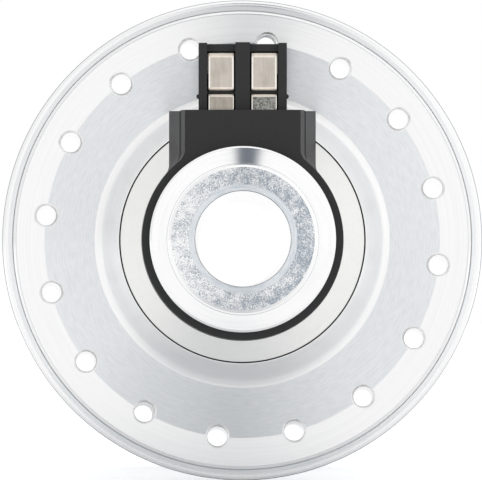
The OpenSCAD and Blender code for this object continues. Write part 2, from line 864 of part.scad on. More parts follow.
// Moulded bobbin of the coil.
module coil_bobbin() {
    y0 = stator_y + plate_t;
    y1 = stator_end_y - plate_t;
    tube_r = core_r + bobbin_wall;
    color("#E4DFD2")
        turned()
            polygon([
                [core_r, y0],
                [bobbin_r, y0],
                [bobbin_r, y0 + bobbin_flange_t],
                [tube_r, y0 + bobbin_flange_t],
                [tube_r, y1 - bobbin_flange_t],
                [bobbin_r, y1 - bobbin_flange_t],
                [bobbin_r, y1],
                [core_r, y1]
            ]);
}

// Copper winding on the bobbin.
module coil_winding() {
    inset = plate_t + bobbin_flange_t;
    color(copper)
        ring(core_r + bobbin_wall, bobbin_r - winding_inset, stator_y + inset, stator_end_y - inset);
}

// Inner ring of a ball bearing that starts at y.
module bearing_inner_ring(y) {
    color(steel)
        turned()
            difference() {
                translate([seat_r, y])
                    square([inner_race_r - seat_r, bearing_w]);
                translate([pitch_r, y + bearing_w / 2])
                    circle(race_r);
            }
}

// Outer ring of a ball bearing that starts at y.
module bearing_outer_ring(y) {
    color(steel)
        turned()
            difference() {
                translate([outer_race_r, y])
                    square([bearing_r - outer_race_r, bearing_w]);
                translate([pitch_r, y + bearing_w / 2])
                    circle(race_r);
            }
}

// The balls of a bearing that starts at y.
module bearing_balls(y) {
    color(polished)
        around(ball_count, pitch_r)
            translate([0, y + bearing_w / 2, 0])
                sphere(ball_r);
}

// The cage that keeps the balls of a bearing apart.
module bearing_cage(y) {
    middle = y + bearing_w / 2;
    color("#D8CFA8")
        difference() {
            ring(pitch_r - cage_t / 2, pitch_r + cage_t / 2, middle - cage_w / 2, middle + cage_w / 2);
            around(ball_count, pitch_r)
                translate([0, middle, 0])
                    rotate([0, 90, 0])
                        cylinder(r = ball_r + cage_gap, h = ball_d, center = true);
        }
}

// The two seals of a bearing that starts at y, which sit in its outer ring.
module bearing_seals(y) {
    color(rubber)
        for (y0 = [y + seal_inset, y + bearing_w - seal_inset - seal_t])
            ring(inner_race_r + seal_gap, outer_race_r, y0, y0 + seal_t);
}

// Inner ring of the right bearing.
module right_bearing_inner_ring() {
    bearing_inner_ring(right_bearing_y);
}

// Outer ring of the right bearing.
module right_bearing_outer_ring() {
    bearing_outer_ring(right_bearing_y);
}

// Balls of the right bearing.
module right_bearing_balls() {
    bearing_balls(right_bearing_y);
}

// Cage of the right bearing.
module right_bearing_cage() {
    bearing_cage(right_bearing_y);
}

// Seals of the right bearing.
module right_bearing_seals() {
    bearing_seals(right_bearing_y);
}

// Inner ring of the left bearing.
module left_bearing_inner_ring() {
    bearing_inner_ring(left_bearing_y);
}

// Outer ring of the left bearing.
module left_bearing_outer_ring() {
    bearing_outer_ring(left_bearing_y);
}

// Balls of the left bearing.
module left_bearing_balls() {
    bearing_balls(left_bearing_y);
}

// Cage of the left bearing.
module left_bearing_cage() {
    bearing_cage(left_bearing_y);
}

// Seals of the left bearing.
module left_bearing_seals() {
    bearing_seals(left_bearing_y);
}

// Profile of the right flange, its boss, its stub of barrel and its skirt.
module right_cover_profile() {
    land_y = right_face_y + rim_step;
    cone_y = right_face_y - cone_rise;
    skirt_in_r = barrel_bore_r - skirt_wall;
    groove_y = (seam_y + skirt_end_y) / 2 - o_ring_t / 2 - o_ring_gap;
    boss_edge = [boss_top_r, boss_top_y];
    boss_foot = [boss_foot_in_r, cone_y];
    spoke_line = [right_spoke_r, right_face_y];
    cove = [face_r, land_y];
    land_edge = [right_rim_r - rim_chamfer, land_y];
    face_edge = [face_r, right_face_y + face_chamfer];
    back_corner = [barrel_r, right_back_y];
    back_edge = [right_rim_r - rim_chamfer, right_back_y];
    difference() {
        union() {
            polygon([
                [mouth_r, boss_top_y],
                boss_edge,
                boss_foot,
                spoke_line,
                [face_r - face_chamfer, right_face_y],
                face_edge,
                cove,
                land_edge,
                [right_rim_r, land_y + rim_chamfer],
                [right_rim_r, right_back_y - rim_chamfer],
                back_edge,
                back_corner,
                [barrel_r, seam_y - seam_chamfer],
                [barrel_r - seam_chamfer, seam_y],
                [barrel_bore_r, seam_y],
                [barrel_bore_r, skirt_end_y],
                [skirt_in_r, skirt_end_y],
                [skirt_in_r, cover_inside_y],
                [shoulder_r, cover_inside_y],
                [shoulder_r, cover_inside_y - shoulder_t],
                [bearing_r, cover_inside_y - shoulder_t],
                [bearing_r, right_bearing_y],
                [mouth_r, right_bearing_y]
            ]);
            bulge(boss_foot, boss_edge, boss_bulge_h);
            corner_piece(boss_edge, boss_foot, spoke_line, boss_foot_r, boss_foot_r / 4);
            corner_piece(face_edge, cove, land_edge, rim_cove_r, rim_cove_r / 4);
            corner_piece(back_edge, back_corner, [barrel_r, seam_y], barrel_fillet_r, barrel_fillet_r / 4);
        }
        corner_piece([mouth_r, boss_top_y], boss_edge, boss_foot, boss_edge_r, over);
        translate([barrel_bore_r - o_ring_t, groove_y])
            square([o_ring_t + over, o_ring_t + 2 * o_ring_gap]);
    }
}

// Right flange, which closes the barrel and carries the right bearing.
module right_flange_cover() {
    color(aluminium)
        difference() {
            turned()
                right_cover_profile();
            around(spoke_count, right_spoke_r, spoke_first_angle)
                countersunk_hole(spoke_hole_d, spoke_chamfer, right_face_y, right_back_y);
        }
}

// Profile of the barrel, the left flange and the brake disc's seat.
module shell_profile() {
    hollow_r = bearing_r + hollow_step;
    spigot_r = disc_spigot_d / 2;
    seam = [barrel_r, seam_y];
    right_corner = [barrel_r, left_flange_y];
    right_edge = [left_rim_r - rim_chamfer, left_flange_y];
    union() {
        polygon([
            [barrel_bore_r, seam_y],
            [barrel_r - seam_chamfer, seam_y],
            [barrel_r, seam_y + seam_chamfer],
            right_corner,
            right_edge,
            [left_rim_r, left_flange_y + rim_chamfer],
            [left_rim_r, left_face_y - rim_chamfer],
            [left_rim_r - rim_chamfer, left_face_y],
            [disc_boss_r, left_face_y],
            [disc_boss_r, disc_face_y - disc_boss_chamfer],
            [disc_boss_r - disc_boss_chamfer, disc_face_y],
            [spigot_r, disc_face_y],
            [spigot_r, left_mouth_y - spigot_chamfer],
            [spigot_r - spigot_chamfer, left_mouth_y],
            [shoulder_r, left_mouth_y],
            [shoulder_r, left_bearing_end_y],
            [bearing_r, left_bearing_end_y],
            [bearing_r, left_bearing_y],
            [hollow_r, left_bearing_y - hollow_step],
            [hollow_r, bore_end_y],
            [barrel_bore_r, bore_end_y]
        ]);
        corner_piece(seam, right_corner, right_edge, barrel_fillet_r, barrel_fillet_r / 4);
    }
}

// Barrel with the left flange and the six-bolt seat for the brake disc.
module hub_shell() {
    scallop_at_r = disc_boss_r + scallop_r - scallop_depth;
    color(aluminium)
        difference() {
            turned()
                shell_profile();
            around(spoke_count, left_spoke_r, spoke_first_angle)
                countersunk_hole(spoke_hole_d, spoke_chamfer, left_flange_y, left_face_y);
            around(disc_bolt_count, disc_circle_d / 2, 90) {
                drill(disc_hole_d, disc_face_y - disc_hole_depth, disc_face_y + over);
                countersink(disc_hole_d, disc_hole_chamfer, disc_face_y, -1);
            }
            around(disc_bolt_count, scallop_at_r, 90 + 180 / disc_bolt_count)
                drill(2 * scallop_r, left_face_y + scallop_foot, disc_face_y + over);
        }
}

// Rubber O-ring that seals the seam.
module seam_o_ring() {
    section_r = o_ring_t / 2 - o_ring_gap;
    color(rubber)
        turned()
            translate([barrel_bore_r - o_ring_t / 2, (seam_y + skirt_end_y) / 2])
                circle(section_r);
}

// Steel ring that closes the magnets' field.
module rotor_ring() {
    color(steel)
        ring(rotor_bore_r, barrel_bore_r, rotor_y, bore_end_y);
}

// Magnets, set side by side inside the rotor ring.
module rotor_magnets() {
    pitch = 360 / magnet_count;
    color("#4A4A4C")
        for (i = [0 : magnet_count - 1])
            rotate([0, i * pitch, 0])
                rotate([-90, 0, 0])
                    rotate_extrude(angle = pitch - magnet_space)
                        translate([magnet_bore_r, rotor_y + magnet_inset])
                            square([magnet_t, bore_end_y - rotor_y - 2 * magnet_inset]);
}

axle();
right_clamp_ring();
left_clamp_ring();
connector_housing();
terminal_block();
front_contact();
rear_contact();
front_lead_wire();
rear_lead_wire();
right_dust_cover();
left_dust_cover();
right_spacer();
left_spacer();
stator_core();
stator_key();
right_claw_plate();
left_claw_plate();
coil_bobbin();
coil_winding();
right_bearing_inner_ring();
right_bearing_outer_ring();
right_bearing_balls();
right_bearing_cage();
right_bearing_seals();
left_bearing_inner_ring();
left_bearing_outer_ring();
left_bearing_balls();
left_bearing_cage();
left_bearing_seals();
right_flange_cover();
hub_shell();
seam_o_ring();
rotor_ring();
rotor_magnets();
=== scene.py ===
"""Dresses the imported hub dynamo: a turned hub shell on a hollow axle, with a two-pole connector."""

import logging
import math
from abc import ABC, abstractmethod
from collections.abc import Callable, Sequence
from dataclasses import dataclass
from enum import Enum
from typing import Any, ClassVar, NamedTuple

import bmesh
import bpy
from bpy.types import Material, Node, NodeSocket, NodeTree, Object
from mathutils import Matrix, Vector


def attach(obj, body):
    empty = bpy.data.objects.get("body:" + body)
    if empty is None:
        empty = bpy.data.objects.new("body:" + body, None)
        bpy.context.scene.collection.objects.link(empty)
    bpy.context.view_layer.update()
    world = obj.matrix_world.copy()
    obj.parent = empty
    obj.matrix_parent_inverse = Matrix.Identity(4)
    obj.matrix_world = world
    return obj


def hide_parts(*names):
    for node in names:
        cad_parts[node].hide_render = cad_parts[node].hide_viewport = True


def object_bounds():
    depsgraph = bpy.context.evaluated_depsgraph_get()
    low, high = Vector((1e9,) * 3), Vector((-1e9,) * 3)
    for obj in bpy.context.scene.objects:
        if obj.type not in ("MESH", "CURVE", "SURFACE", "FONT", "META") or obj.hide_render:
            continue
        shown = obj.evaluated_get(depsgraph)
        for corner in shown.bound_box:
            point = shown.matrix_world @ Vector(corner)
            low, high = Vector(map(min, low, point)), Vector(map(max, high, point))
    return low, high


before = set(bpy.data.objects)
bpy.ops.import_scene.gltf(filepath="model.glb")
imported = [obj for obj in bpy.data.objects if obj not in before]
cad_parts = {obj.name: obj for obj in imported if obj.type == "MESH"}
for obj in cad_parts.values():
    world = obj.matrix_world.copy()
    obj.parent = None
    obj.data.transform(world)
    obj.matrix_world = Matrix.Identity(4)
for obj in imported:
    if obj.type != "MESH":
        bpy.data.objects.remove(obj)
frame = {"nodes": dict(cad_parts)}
CAD_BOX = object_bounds()

MM = 0.001
WHITE = (1.0, 1.0, 1.0, 1.0)
Source = Node | NodeSocket
Inputs = dict[Any, Any]
log = logging.getLogger("hub_dynamo")


class Body(Enum):
    """The CAD bodies that pieces ride on."""

    AXLE = "axle_assembly"
    WHEEL = "wheel_shell"


class Side(Enum):
    """The two sides of the connector, as the sign of X."""

    FRONT = 1
    REAR = -1


# Materials

def linear(code: str) -> tuple[float, float, float, float]:
    """Turns an sRGB hex colour into linear light.

    Args:
        code: the colour as six hex digits after a #.

    Returns:
        Red, green and blue in linear light, and full alpha.
    """
    parts = [int(code[i:i + 2], 16) / 255 for i in (1, 3, 5)]
    light = [p / 12.92 if p <= 0.04045 else ((p + 0.055) / 1.055) ** 2.4 for p in parts]
    return (light[0], light[1], light[2], 1.0)


@dataclass(frozen=True)
class Graph:
    """A tree of shader nodes."""

    tree: NodeTree

    def feed(self, node: Node, inputs: Inputs) -> None:
        """Sets or links a node's inputs.

        Args:
            node: the node.
            inputs: values, sockets, or nodes that give their first output, by input name or number.
        """
        for key, value in inputs.items():
            source = value.outputs[0] if isinstance(value, Node) else value
            if isinstance(source, NodeSocket):
                self.tree.links.new(source, node.inputs[key])
            else:
                node.inputs[key].default_value = source

    def add(self, kind: str, inputs: Inputs | None = None, **settings: Any) -> Node:
        """Adds a node, sets it and links its inputs.

        Args:
            kind: the node's type name after ShaderNode.
            inputs: what feeds its inputs, by name or number.
            settings: the node's own settings by name.

        Returns:
            The new node.
        """
        node = self.tree.nodes.new(f"ShaderNode{kind}")
        for name, value in settings.items():
            setattr(node, name, value)
        self.feed(node, inputs or {})
        return node


@dataclass(frozen=True)
class Finish(ABC):
    """A surface finish with its main colour, a second colour for its pattern and its roughness."""

    TONES: ClassVar[tuple[float, float]] = (0.3, 0.7)
    RELIEF: ClassVar[float] = 0.2
    ACROSS: ClassVar[float] = 0.25

    name: str
    color: str
    second: str
    roughness: float

    def material(self) -> Material:
        """Gives the finish's material, which is made when it is first asked for.

        Returns:
            The material.
        """
        known = bpy.data.materials.get(self.name)
        if known is not None:
            return known
        made = bpy.data.materials.new(self.name)
        made.use_nodes = True
        graph = Graph(made.node_tree)
        place = graph.add("TexCoord").outputs["Object"]
        shader = made.node_tree.nodes["Principled BSDF"]
        graph.feed(shader, {"Roughness": self.roughness, **self.detail(graph, place)})
        return made

    @abstractmethod
    def detail(self, graph: Graph, place: NodeSocket) -> Inputs:
        """Makes the pattern on Object coordinates and gives the shader's other inputs."""

    def pattern(
        self, graph: Graph, tone: Source, tones: tuple[float, float], height: Source, depth: float
    ) -> Inputs:
        """Goes from the second colour to the main one as a tone rises, and raises the surface.

        Args:
            graph: the material's nodes.
            tone: what gives the tone.
            tones: the tone's values for the second colour and for the main one.
            height: what gives the surface's height, from 0 to 1.
            depth: how deep the pattern is, in mm.

        Returns:
            The shader's inputs for colour and relief.
        """
        share = graph.add("MapRange", {"Value": tone, "From Min": tones[0], "From Max": tones[1]})
        blend = graph.add(
            "Mix", {0: share, 6: linear(self.second), 7: linear(self.color)}, data_type="RGBA"
        )
        bump = graph.add("Bump", {"Height": height, "Distance": depth * MM, "Strength": self.RELIEF})
        return {"Base Color": blend.outputs[2], "Normal": bump}

    def lathe_gloss(self, graph: Graph, stretch: float) -> Inputs:
        """Makes a metal whose reflections stretch across rings about the axle.

        Args:
            graph: the material's nodes.
            stretch: how far they stretch, from 0 to 1.

        Returns:
            The shader's inputs for the gloss.
        """
        return {
            "Tangent": graph.add("Tangent", direction_type="RADIAL", axis="Y"), "Metallic": 1.0,
            "Anisotropic": stretch, "Anisotropic Rotation": self.ACROSS,
        }


@dataclass(frozen=True)
class TurnedMetal(Finish):
    """Metal off the lathe: fine rings about the axle, which stretch a reflection across them."""

    TONES: ClassVar[tuple[float, float]] = (0.3, 0.6)
    OCTAVES: ClassVar[float] = 4.0

    pitch: float
    lengths: float
    depth: float
    stretch: float

    def detail(self, graph: Graph, place: NodeSocket) -> Inputs:
        """Adds the stretched gloss and the tool's marks: lines round the axle that fade in and out."""
        parts = graph.add("SeparateXYZ", {0: place}).outputs
        flat = graph.add("CombineXYZ", {"X": parts["X"], "Z": parts["Z"]})
        reach = graph.add("VectorMath", {0: flat}, operation="LENGTH").outputs["Value"]
        run = graph.add("Math", {0: reach, 1: parts["Y"]}, operation="ADD")
        lines = graph.add("Math", {0: run, 1: 1 / (self.pitch * MM)}, operation="MULTIPLY")
        turn = graph.add("VectorMath", {0: flat}, operation="NORMALIZE")
        wide = graph.add("VectorMath", {0: turn, "Scale": self.lengths}, operation="SCALE")
        rise = graph.add("CombineXYZ", {"Y": lines})
        spot = graph.add("VectorMath", {0: wide, 1: rise}, operation="ADD")
        marks = graph.add("TexNoise", {"Vector": spot, "Scale": 1.0, "Detail": self.OCTAVES})
        return {
            **self.pattern(graph, marks, self.TONES, marks, self.depth),
            **self.lathe_gloss(graph, self.stretch),
        }


@dataclass(frozen=True)
class MottledMetal(Finish):
    """Plated or phosphated metal: crystals of slightly different shade, which gather in patches."""

    RELIEF: ClassVar[float] = 0.15
    DEPTH: ClassVar[float] = 0.01
    PATCH_GRAINS: ClassVar[float] = 9.0
    PATCH_SHARE: ClassVar[float] = 0.3

    grain: float
    low: float
    high: float
    stretch: float = 0.0
    drift: float = 0.0

    def detail(self, graph: Graph, place: NodeSocket) -> Inputs:
        """Adds the crystals, whose tone shifts along X by the drift per mm."""
        size = self.grain * MM
        grains = graph.add("TexNoise", {
            "Vector": place, "Scale": 1 / size, "Detail": 2.0, "Roughness": 0.6,
        })
        patches = graph.add("TexNoise", {
            "Vector": place, "Scale": 1 / (self.PATCH_GRAINS * size), "Detail": 2.0,
        })
        both = graph.add("Mix", {0: self.PATCH_SHARE, 2: grains, 3: patches}, data_type="FLOAT")
        parts = graph.add("SeparateXYZ", {0: place}).outputs
        shade = graph.add("Math", {0: parts["X"], 1: self.drift / MM, 2: both}, operation="MULTIPLY_ADD")
        return {
            **self.pattern(graph, shade, (self.low, self.high), grains, self.DEPTH),
            **self.lathe_gloss(graph, self.stretch),
        }


@dataclass(frozen=True)
class StampedStrip(Finish):
    """Nickel-plated strip: a warm sheen, rolled lines along it, and smudges from the plug."""

    TONES: ClassVar[tuple[float, float]] = (0.7, 1.15)
    DEPTH: ClassVar[float] = 0.005
    LINE: ClassVar[float] = 1.1
    DRAWN: ClassVar[tuple[float, float, float]] = (6.0, 1.0, 0.35)
    SMUDGE: ClassVar[float] = 1.6

    metal: float = 1.0

    def detail(self, graph: Graph, place: NodeSocket) -> Inputs:
        """Adds the rolled lines and the smudges."""
        drawn = graph.add("Mapping", {"Vector": place, "Scale": self.DRAWN})
        lines = graph.add("TexNoise", {
            "Vector": drawn, "Scale": 1 / (self.LINE * MM), "Detail": 4.0, "Roughness": 0.6,
        })
        smudge = graph.add("TexNoise", {
            "Vector": place, "Scale": 1 / (self.SMUDGE * MM), "Detail": 2.0,
        })
        both = graph.add("Math", {0: lines, 1: smudge}, operation="ADD")
        return {**self.pattern(graph, both, self.TONES, lines, self.DEPTH), "Metallic": self.metal}


@dataclass(frozen=True)
class MouldedPlastic(Finish):
    """Moulded plastic or rubber: an even colour with a fine spark-eroded grain from the tool."""

    RELIEF: ClassVar[float] = 0.3

    grain: float
    depth: float
    gloss: float

    def detail(self, graph: Graph, place: NodeSocket) -> Inputs:
        """Adds the tool's grain."""
        grains = graph.add("TexNoise", {
            "Vector": place, "Scale": 1 / (self.grain * MM), "Detail": 3.0, "Roughness": 0.6,
        })
        relief = self.pattern(graph, grains, self.TONES, grains, self.depth)
        return {**relief, "Specular IOR Level": self.gloss}


@dataclass(frozen=True)
class WoundWire(Finish):
    """Enamelled copper wire in even turns side by side."""

    TONES: ClassVar[tuple[float, float]] = (0.1, 0.7)
    RELIEF: ClassVar[float] = 0.8
    DEPTH: ClassVar[float] = 0.2
    METAL: ClassVar[float] = 0.9
    # Length over which the wave texture repeats at a scale of 1
    WAVE: ClassVar[float] = math.tau / 20

    pitch: float = 0.5

    def detail(self, graph: Graph, place: NodeSocket) -> Inputs:
        """Adds the turns."""
        turns = graph.add("TexWave", {
            "Vector": place, "Scale": self.WAVE / (self.pitch * MM), "Distortion": 0.0,
        }, bands_direction="Y").outputs["Fac"]
        return {**self.pattern(graph, turns, self.TONES, turns, self.DEPTH), "Metallic": self.METAL}


# Aluminium, faced on a lathe and clear anodised: nearly white, the rings too fine to see one by one
FLANGE_FLAT = TurnedMetal("aluminium_faced_bright", "#FAFAFA", "#F6F6F6", 0.14, 0.2, 1.5, 0.0006, 0.88)
# The same metal, turned with a coarser feed, drawn three times as coarse as it is so that it shows
FLANGE_CONE = TurnedMetal("aluminium_turned_blue_grey", "#F5F7F9", "#ECEFF2", 0.3, 0.2, 18.0, 0.0006, 1.0)
# Polished on the lathe: mirrors what stands beside it, with faint rings
BOSS_WALL = TurnedMetal("aluminium_polished_wall", "#FFFFFF", "#FBFBFA", 0.28, 0.5, 1.2, 0.001, 0.6)
# Turned and anodised barrel and disc seat: satin, with a visible feed
BARREL = TurnedMetal("aluminium_turned_barrel", "#D2D6DA", "#BEC4CA", 0.32, 0.3, 1.5, 0.003, 0.7)
# Milled between the bolts: satin, with no rings
MILLED = MottledMetal("aluminium_milled_satin", "#CDD2D6", "#BDC3C9", 0.34, 0.4, 0.3, 0.7)
# The rim's outer edge as the tool left it, and greyer as painted shade, so that it draws a fine line
# round the flange
RIM_SIDE_SHADED = TurnedMetal("aluminium_turned_rim_edge_painted_shade", "#A9AFB5", "#979DA3", 0.4, 0.3, 1.5, 0.003, 0.5)
# A groove that the polish doesn't reach: dull, and a shade darker than the face as painted shade, so that
# it draws a line beside the rim
RIM_GROOVE_SHADED = TurnedMetal("aluminium_turned_groove_painted_shade", "#F2F4F6", "#E4E7EA", 0.45, 0.3, 1.5, 0.003, 0.5)
# The cove inside the rim, turned in one pass: light and soft
RIM_COVE = TurnedMetal("aluminium_turned_cove", "#F8F9FA", "#ECEFF1", 0.42, 0.2, 6.0, 0.001, 0.2)
# The narrow land along the rim, polished in passing: bright all round
RIM_LAND = TurnedMetal("aluminium_polished_land", "#FFFFFF", "#FAFAFB", 0.22, 0.2, 1.5, 0.001, 0.6)
# The inner faces of the flanges and the holes through them: faced, and bright as a mirror
FLANGE_INNER = TurnedMetal("aluminium_faced_inner", "#FFFFFF", "#FCFCFC", 0.1, 0.3, 1.5, 0.0005, 0.3)
# Painted shade in the gap beside the dust cover and in the boss's mouth: nearly black
GAP_SHADE = MouldedPlastic("painted_gap_shade_black", "#161616", "#0E0E0E", 0.5, 0.3, 0.004, 0.2)
# Polished clamp rings: bright, with the faintest of rings
RING_FACE = TurnedMetal("aluminium_polished_ring", "#FFFFFF", "#FAFAFB", 0.1, 0.4, 1.5, 0.0005, 1.0)
# Bead blasted and anodised cover: light, even and soft
COVER = MottledMetal("aluminium_blasted_cover", "#FAFAF8", "#F4F4F2", 0.34, 0.2, 0.3, 0.7)
# Zinc-plated and chromated steel: a mottle of bluish and white crystals, lighter towards -X
ZINC = MottledMetal("steel_zinc_plated", "#FFFFFF", "#9DA7B2", 0.3, 0.13, 0.4, 0.6, 0.8, -0.005)
# The turned band beside the bore and the axle's sides: the same plating, smooth and bluish
ZINC_BAND = TurnedMetal("steel_zinc_plated_turned", "#E4E8EC", "#CFD6DC", 0.25, 0.3, 4.0, 0.002, 0.8)
# The axle's bore and its outer chamfers, reamed and bright: they mirror the light beside and behind
BORE = TurnedMetal("steel_reamed_bright", "#FFFFFF", "#FDFDFE", 0.04, 0.6, 1.5, 0.0003, 0.0)
# Black moulded nylon: satin, its grain drawn twice as coarse as it is so that it shows
BLACK = MouldedPlastic("nylon_moulded_black", "#333334", "#2E2E2F", 0.5, 0.22, 0.01, 0.25)
# Nickel-plated brass strip: warm grey with rolled lines
NICKEL = StampedStrip("brass_nickel_plated", "#D1C9C0", "#C0B8AD", 0.2)
# The tab below it and the ear beside it: duller, and darker as painted shade in the window's depth
NICKEL_SHADED = StampedStrip("brass_nickel_painted_shade", "#BAB3A9", "#A39C92", 0.3)
# The strip's rounded edges and the ends of its bends, lighter than the strip: a painted highlight
NICKEL_EDGE_HIGHLIGHT = StampedStrip("brass_nickel_painted_edge_highlight", "#FFF4E8", "#F4E6D8", 0.3, 0.6)
# The flat border along both sides of the strip: smooth, and much lighter than the strip as a painted
# highlight
NICKEL_BORDER_HIGHLIGHT = StampedStrip("brass_nickel_painted_border_highlight", "#FFFAF4", "#FDF3EA", 0.12, 1.0)
# A tab that a plug has scraped: dull, with dark and light scratches
NICKEL_WORN = MottledMetal("brass_nickel_scraped", "#A5A49F", "#464747", 0.25, 0.24, 0.36, 0.62)
# Turned spacers and key: bright steel with fine rings
STEEL = TurnedMetal("steel_turned_bright", "#C9CDD1", "#AEB4BA", 0.28, 0.3, 1.5, 0.004, 0.6)
# Stamped and phosphated iron: a dull dark grey with a crystalline grain
IRON = MottledMetal("iron_stamped_phosphated", "#8C9094", "#63676B", 0.5, 0.5, 0.3, 0.7)
# Ground bearing steel: nearly a mirror
BEARING = TurnedMetal("steel_ground_bearing", "#DADDE0", "#C9CDD1", 0.14, 0.2, 1.0, 0.001, 0.3)
# Natural nylon of cages and bobbin: cream and waxy
NYLON = MouldedPlastic("nylon_moulded_natural", "#E2DAC2", "#D6CCB0", 0.45, 0.4, 0.01, 0.5)
# The coil: copper under enamel, in turns that can be counted
COPPER = WoundWire("copper_enamelled_winding", "#C9713F", "#6A2F17", 0.3)
# Moulded seals: black and matt
RUBBER = MouldedPlastic("rubber_moulded_black", "#1D1D1D", "#171717", 0.6, 0.2, 0.01, 0.3)
# Sintered magnets under a dark coat: grainy
MAGNET = MottledMetal("magnet_sintered_coated", "#5E5F62", "#48494C", 0.5, 0.3, 0.3, 0.7)
# The leads' extruded insulation: smooth and satin
RED = MouldedPlastic("insulation_red", "#A8392D", "#98332A", 0.4, 0.3, 0.004, 0.5)
GREY = MouldedPlastic("insulation_black", "#262626", "#202020", 0.4, 0.3, 0.004, 0.5)

INSIDE = {
    "right_spacer": STEEL, "left_spacer": STEEL, "stator_key": STEEL, "stator_core": IRON,
    "right_claw_plate": IRON, "left_claw_plate": IRON, "rotor_ring": IRON, "rotor_magnets": MAGNET,
    "coil_bobbin": NYLON, "coil_winding": COPPER, "seam_o_ring": RUBBER,
    "front_lead_wire": RED, "rear_lead_wire": GREY,
}
BEARING_PARTS = {
    "inner_ring": BEARING, "outer_ring": IRON, "balls": BEARING, "cage": NYLON, "seals": RUBBER,
}


# Modelling

ARC_STEP = math.radians(10)
SMOOTH_ANGLE = math.radians(32)
BEVEL_SEGMENTS = 3
# Places closer than the first are the same, and faces closer than the second lie in one zone, in mm
SAME = 0.01
NEAR = 0.1
# A cutter stands out this far past what it cuts, in mm
PROUD = 1.0
# Limits of a normal's share along an axis: flat face, slope, half slope, wall and sheer wall
FLAT, SLOPE, HALF, WALL, SHEER = 0.95, 0.7, 0.5, 0.3, 0.2


@dataclass(frozen=True)
class Corner:
    """A corner of a turned profile, in mm: its radius, its place along the axle and its rounding."""

    r: float
    y: float
    rounding: float = 0.0


class Slot(NamedTuple):
    """The block that a milled slot takes away, in mm: its lowest and highest corner and its bevel."""

    low: tuple[float, float, float]
    high: tuple[float, float, float]
    bevel: float


def rounded(corners: Sequence[Corner]) -> list[Vector]:
    """Draws a profile's corners with their roundings.

    Args:
        corners: the corners in order.

    Returns:
        Points in metres, with the radius along X and the place along Y.
    """
    points = []
    for i, corner in enumerate(corners):
        here = Vector((corner.r, corner.y))
        if corner.rounding == 0:
            points.append(here)
            continue
        back = corners[i - 1]
        ahead = corners[(i + 1) % len(corners)]
        to_back = (Vector((back.r, back.y)) - here).normalized()
        to_ahead = (Vector((ahead.r, ahead.y)) - here).normalized()
        half = to_back.angle(to_ahead) / 2
        centre = here + (to_back + to_ahead).normalized() * corner.rounding / math.sin(half)
        start = here + to_back * corner.rounding / math.tan(half) - centre
        end = here + to_ahead * corner.rounding / math.tan(half) - centre
        first = math.atan2(start.y, start.x)
        turn = (math.atan2(end.y, end.x) - first + math.pi) % math.tau - math.pi
        steps = max(3, math.ceil(abs(turn) / ARC_STEP))
        for k in range(steps + 1):
            angle = first + turn * k / steps
            points.append(centre + Vector((math.cos(angle), math.sin(angle))) * corner.rounding)
    return [Vector((p.x * MM, p.y * MM, 0.0)) for p in points]


def pick(piece: Object, *others: Object) -> None:
    """Selects pieces and nothing else, and makes the first one active."""
    bpy.ops.object.select_all(action="DESELECT")
    for each in (piece, *others):
        each.select_set(True)
    bpy.context.view_layer.objects.active = piece


def edit(piece: Object) -> None:
    """Opens one piece in edit mode with all its points selected."""
    pick(piece)
    bpy.ops.object.mode_set(mode="EDIT")
    bpy.ops.mesh.select_mode(type="VERT")
    bpy.ops.mesh.select_all(action="SELECT")


def close_edit() -> Object:
    """Goes back to object mode and gives the active piece."""
    bpy.ops.object.mode_set(mode="OBJECT")
    return bpy.context.object


def draw(points: Sequence[Vector], name: str | None = None) -> None:
    """Draws a chain of edges by extruding a point, and leaves the chain's mesh in edit mode.

    Args:
        points: the chain's points in metres.
        name: the name of a new piece, or None to draw in the piece that is open.
    """
    if name is None:
        bpy.ops.mesh.select_all(action="DESELECT")
        bpy.ops.mesh.primitive_plane_add(size=MM)
    else:
        bpy.ops.object.select_all(action="DESELECT")
        bpy.ops.mesh.primitive_plane_add(size=MM)
        bpy.context.object.name = name
        edit(bpy.context.object)
    bpy.ops.mesh.merge(type="CENTER")
    bpy.ops.transform.translate(value=points[0])
    for here, ahead in zip(points, points[1:]):
        bpy.ops.mesh.extrude_vertices_move(TRANSFORM_OT_translate={"value": ahead - here})


def close_ring() -> None:
    """Closes the selected chain of edges to a ring."""
    bpy.ops.mesh.edge_face_add()
    bpy.ops.mesh.delete(type="ONLY_FACE")


def choose_points(piece: Object, test: Callable[[Vector], bool]) -> None:
    """Selects the points of an open piece that pass a test of their place.

    Args:
        piece: the piece in edit mode.
        test: takes a place in mm.
    """
    bpy.ops.mesh.select_mode(type="VERT")
    bpy.ops.mesh.select_all(action="DESELECT")
    shape = bmesh.from_edit_mesh(piece.data)
    for point in shape.verts:
        point.select_set(test(point.co / MM))
    shape.select_flush_mode()
    bmesh.update_edit_mesh(piece.data)


def clean() -> None:
    """Merges the open piece's doubles and turns its faces outwards."""
    bpy.ops.mesh.select_all(action="SELECT")
    bpy.ops.mesh.remove_doubles(threshold=0.0005 * MM)
    bpy.ops.mesh.normals_make_consistent(inside=False)


def turned(name: str, corners: Sequence[Corner], steps: int, solid: bool = False) -> Object:
    """Turns a profile about the axle.

    Args:
        name: the piece's name.
        corners: the profile's corners.
        steps: the number of faces round the axle.
        solid: whether the profile is open and ends on the axle at both ends.

    Returns:
        The turned piece.
    """
    draw(rounded(corners), name)
    bpy.ops.mesh.select_all(action="SELECT")
    if not solid:
        close_ring()
        bpy.ops.mesh.select_all(action="SELECT")
    bpy.ops.mesh.spin(steps=steps, angle=math.tau, center=(0, 0, 0), axis=(0, 1, 0))
    clean()
    return close_edit()


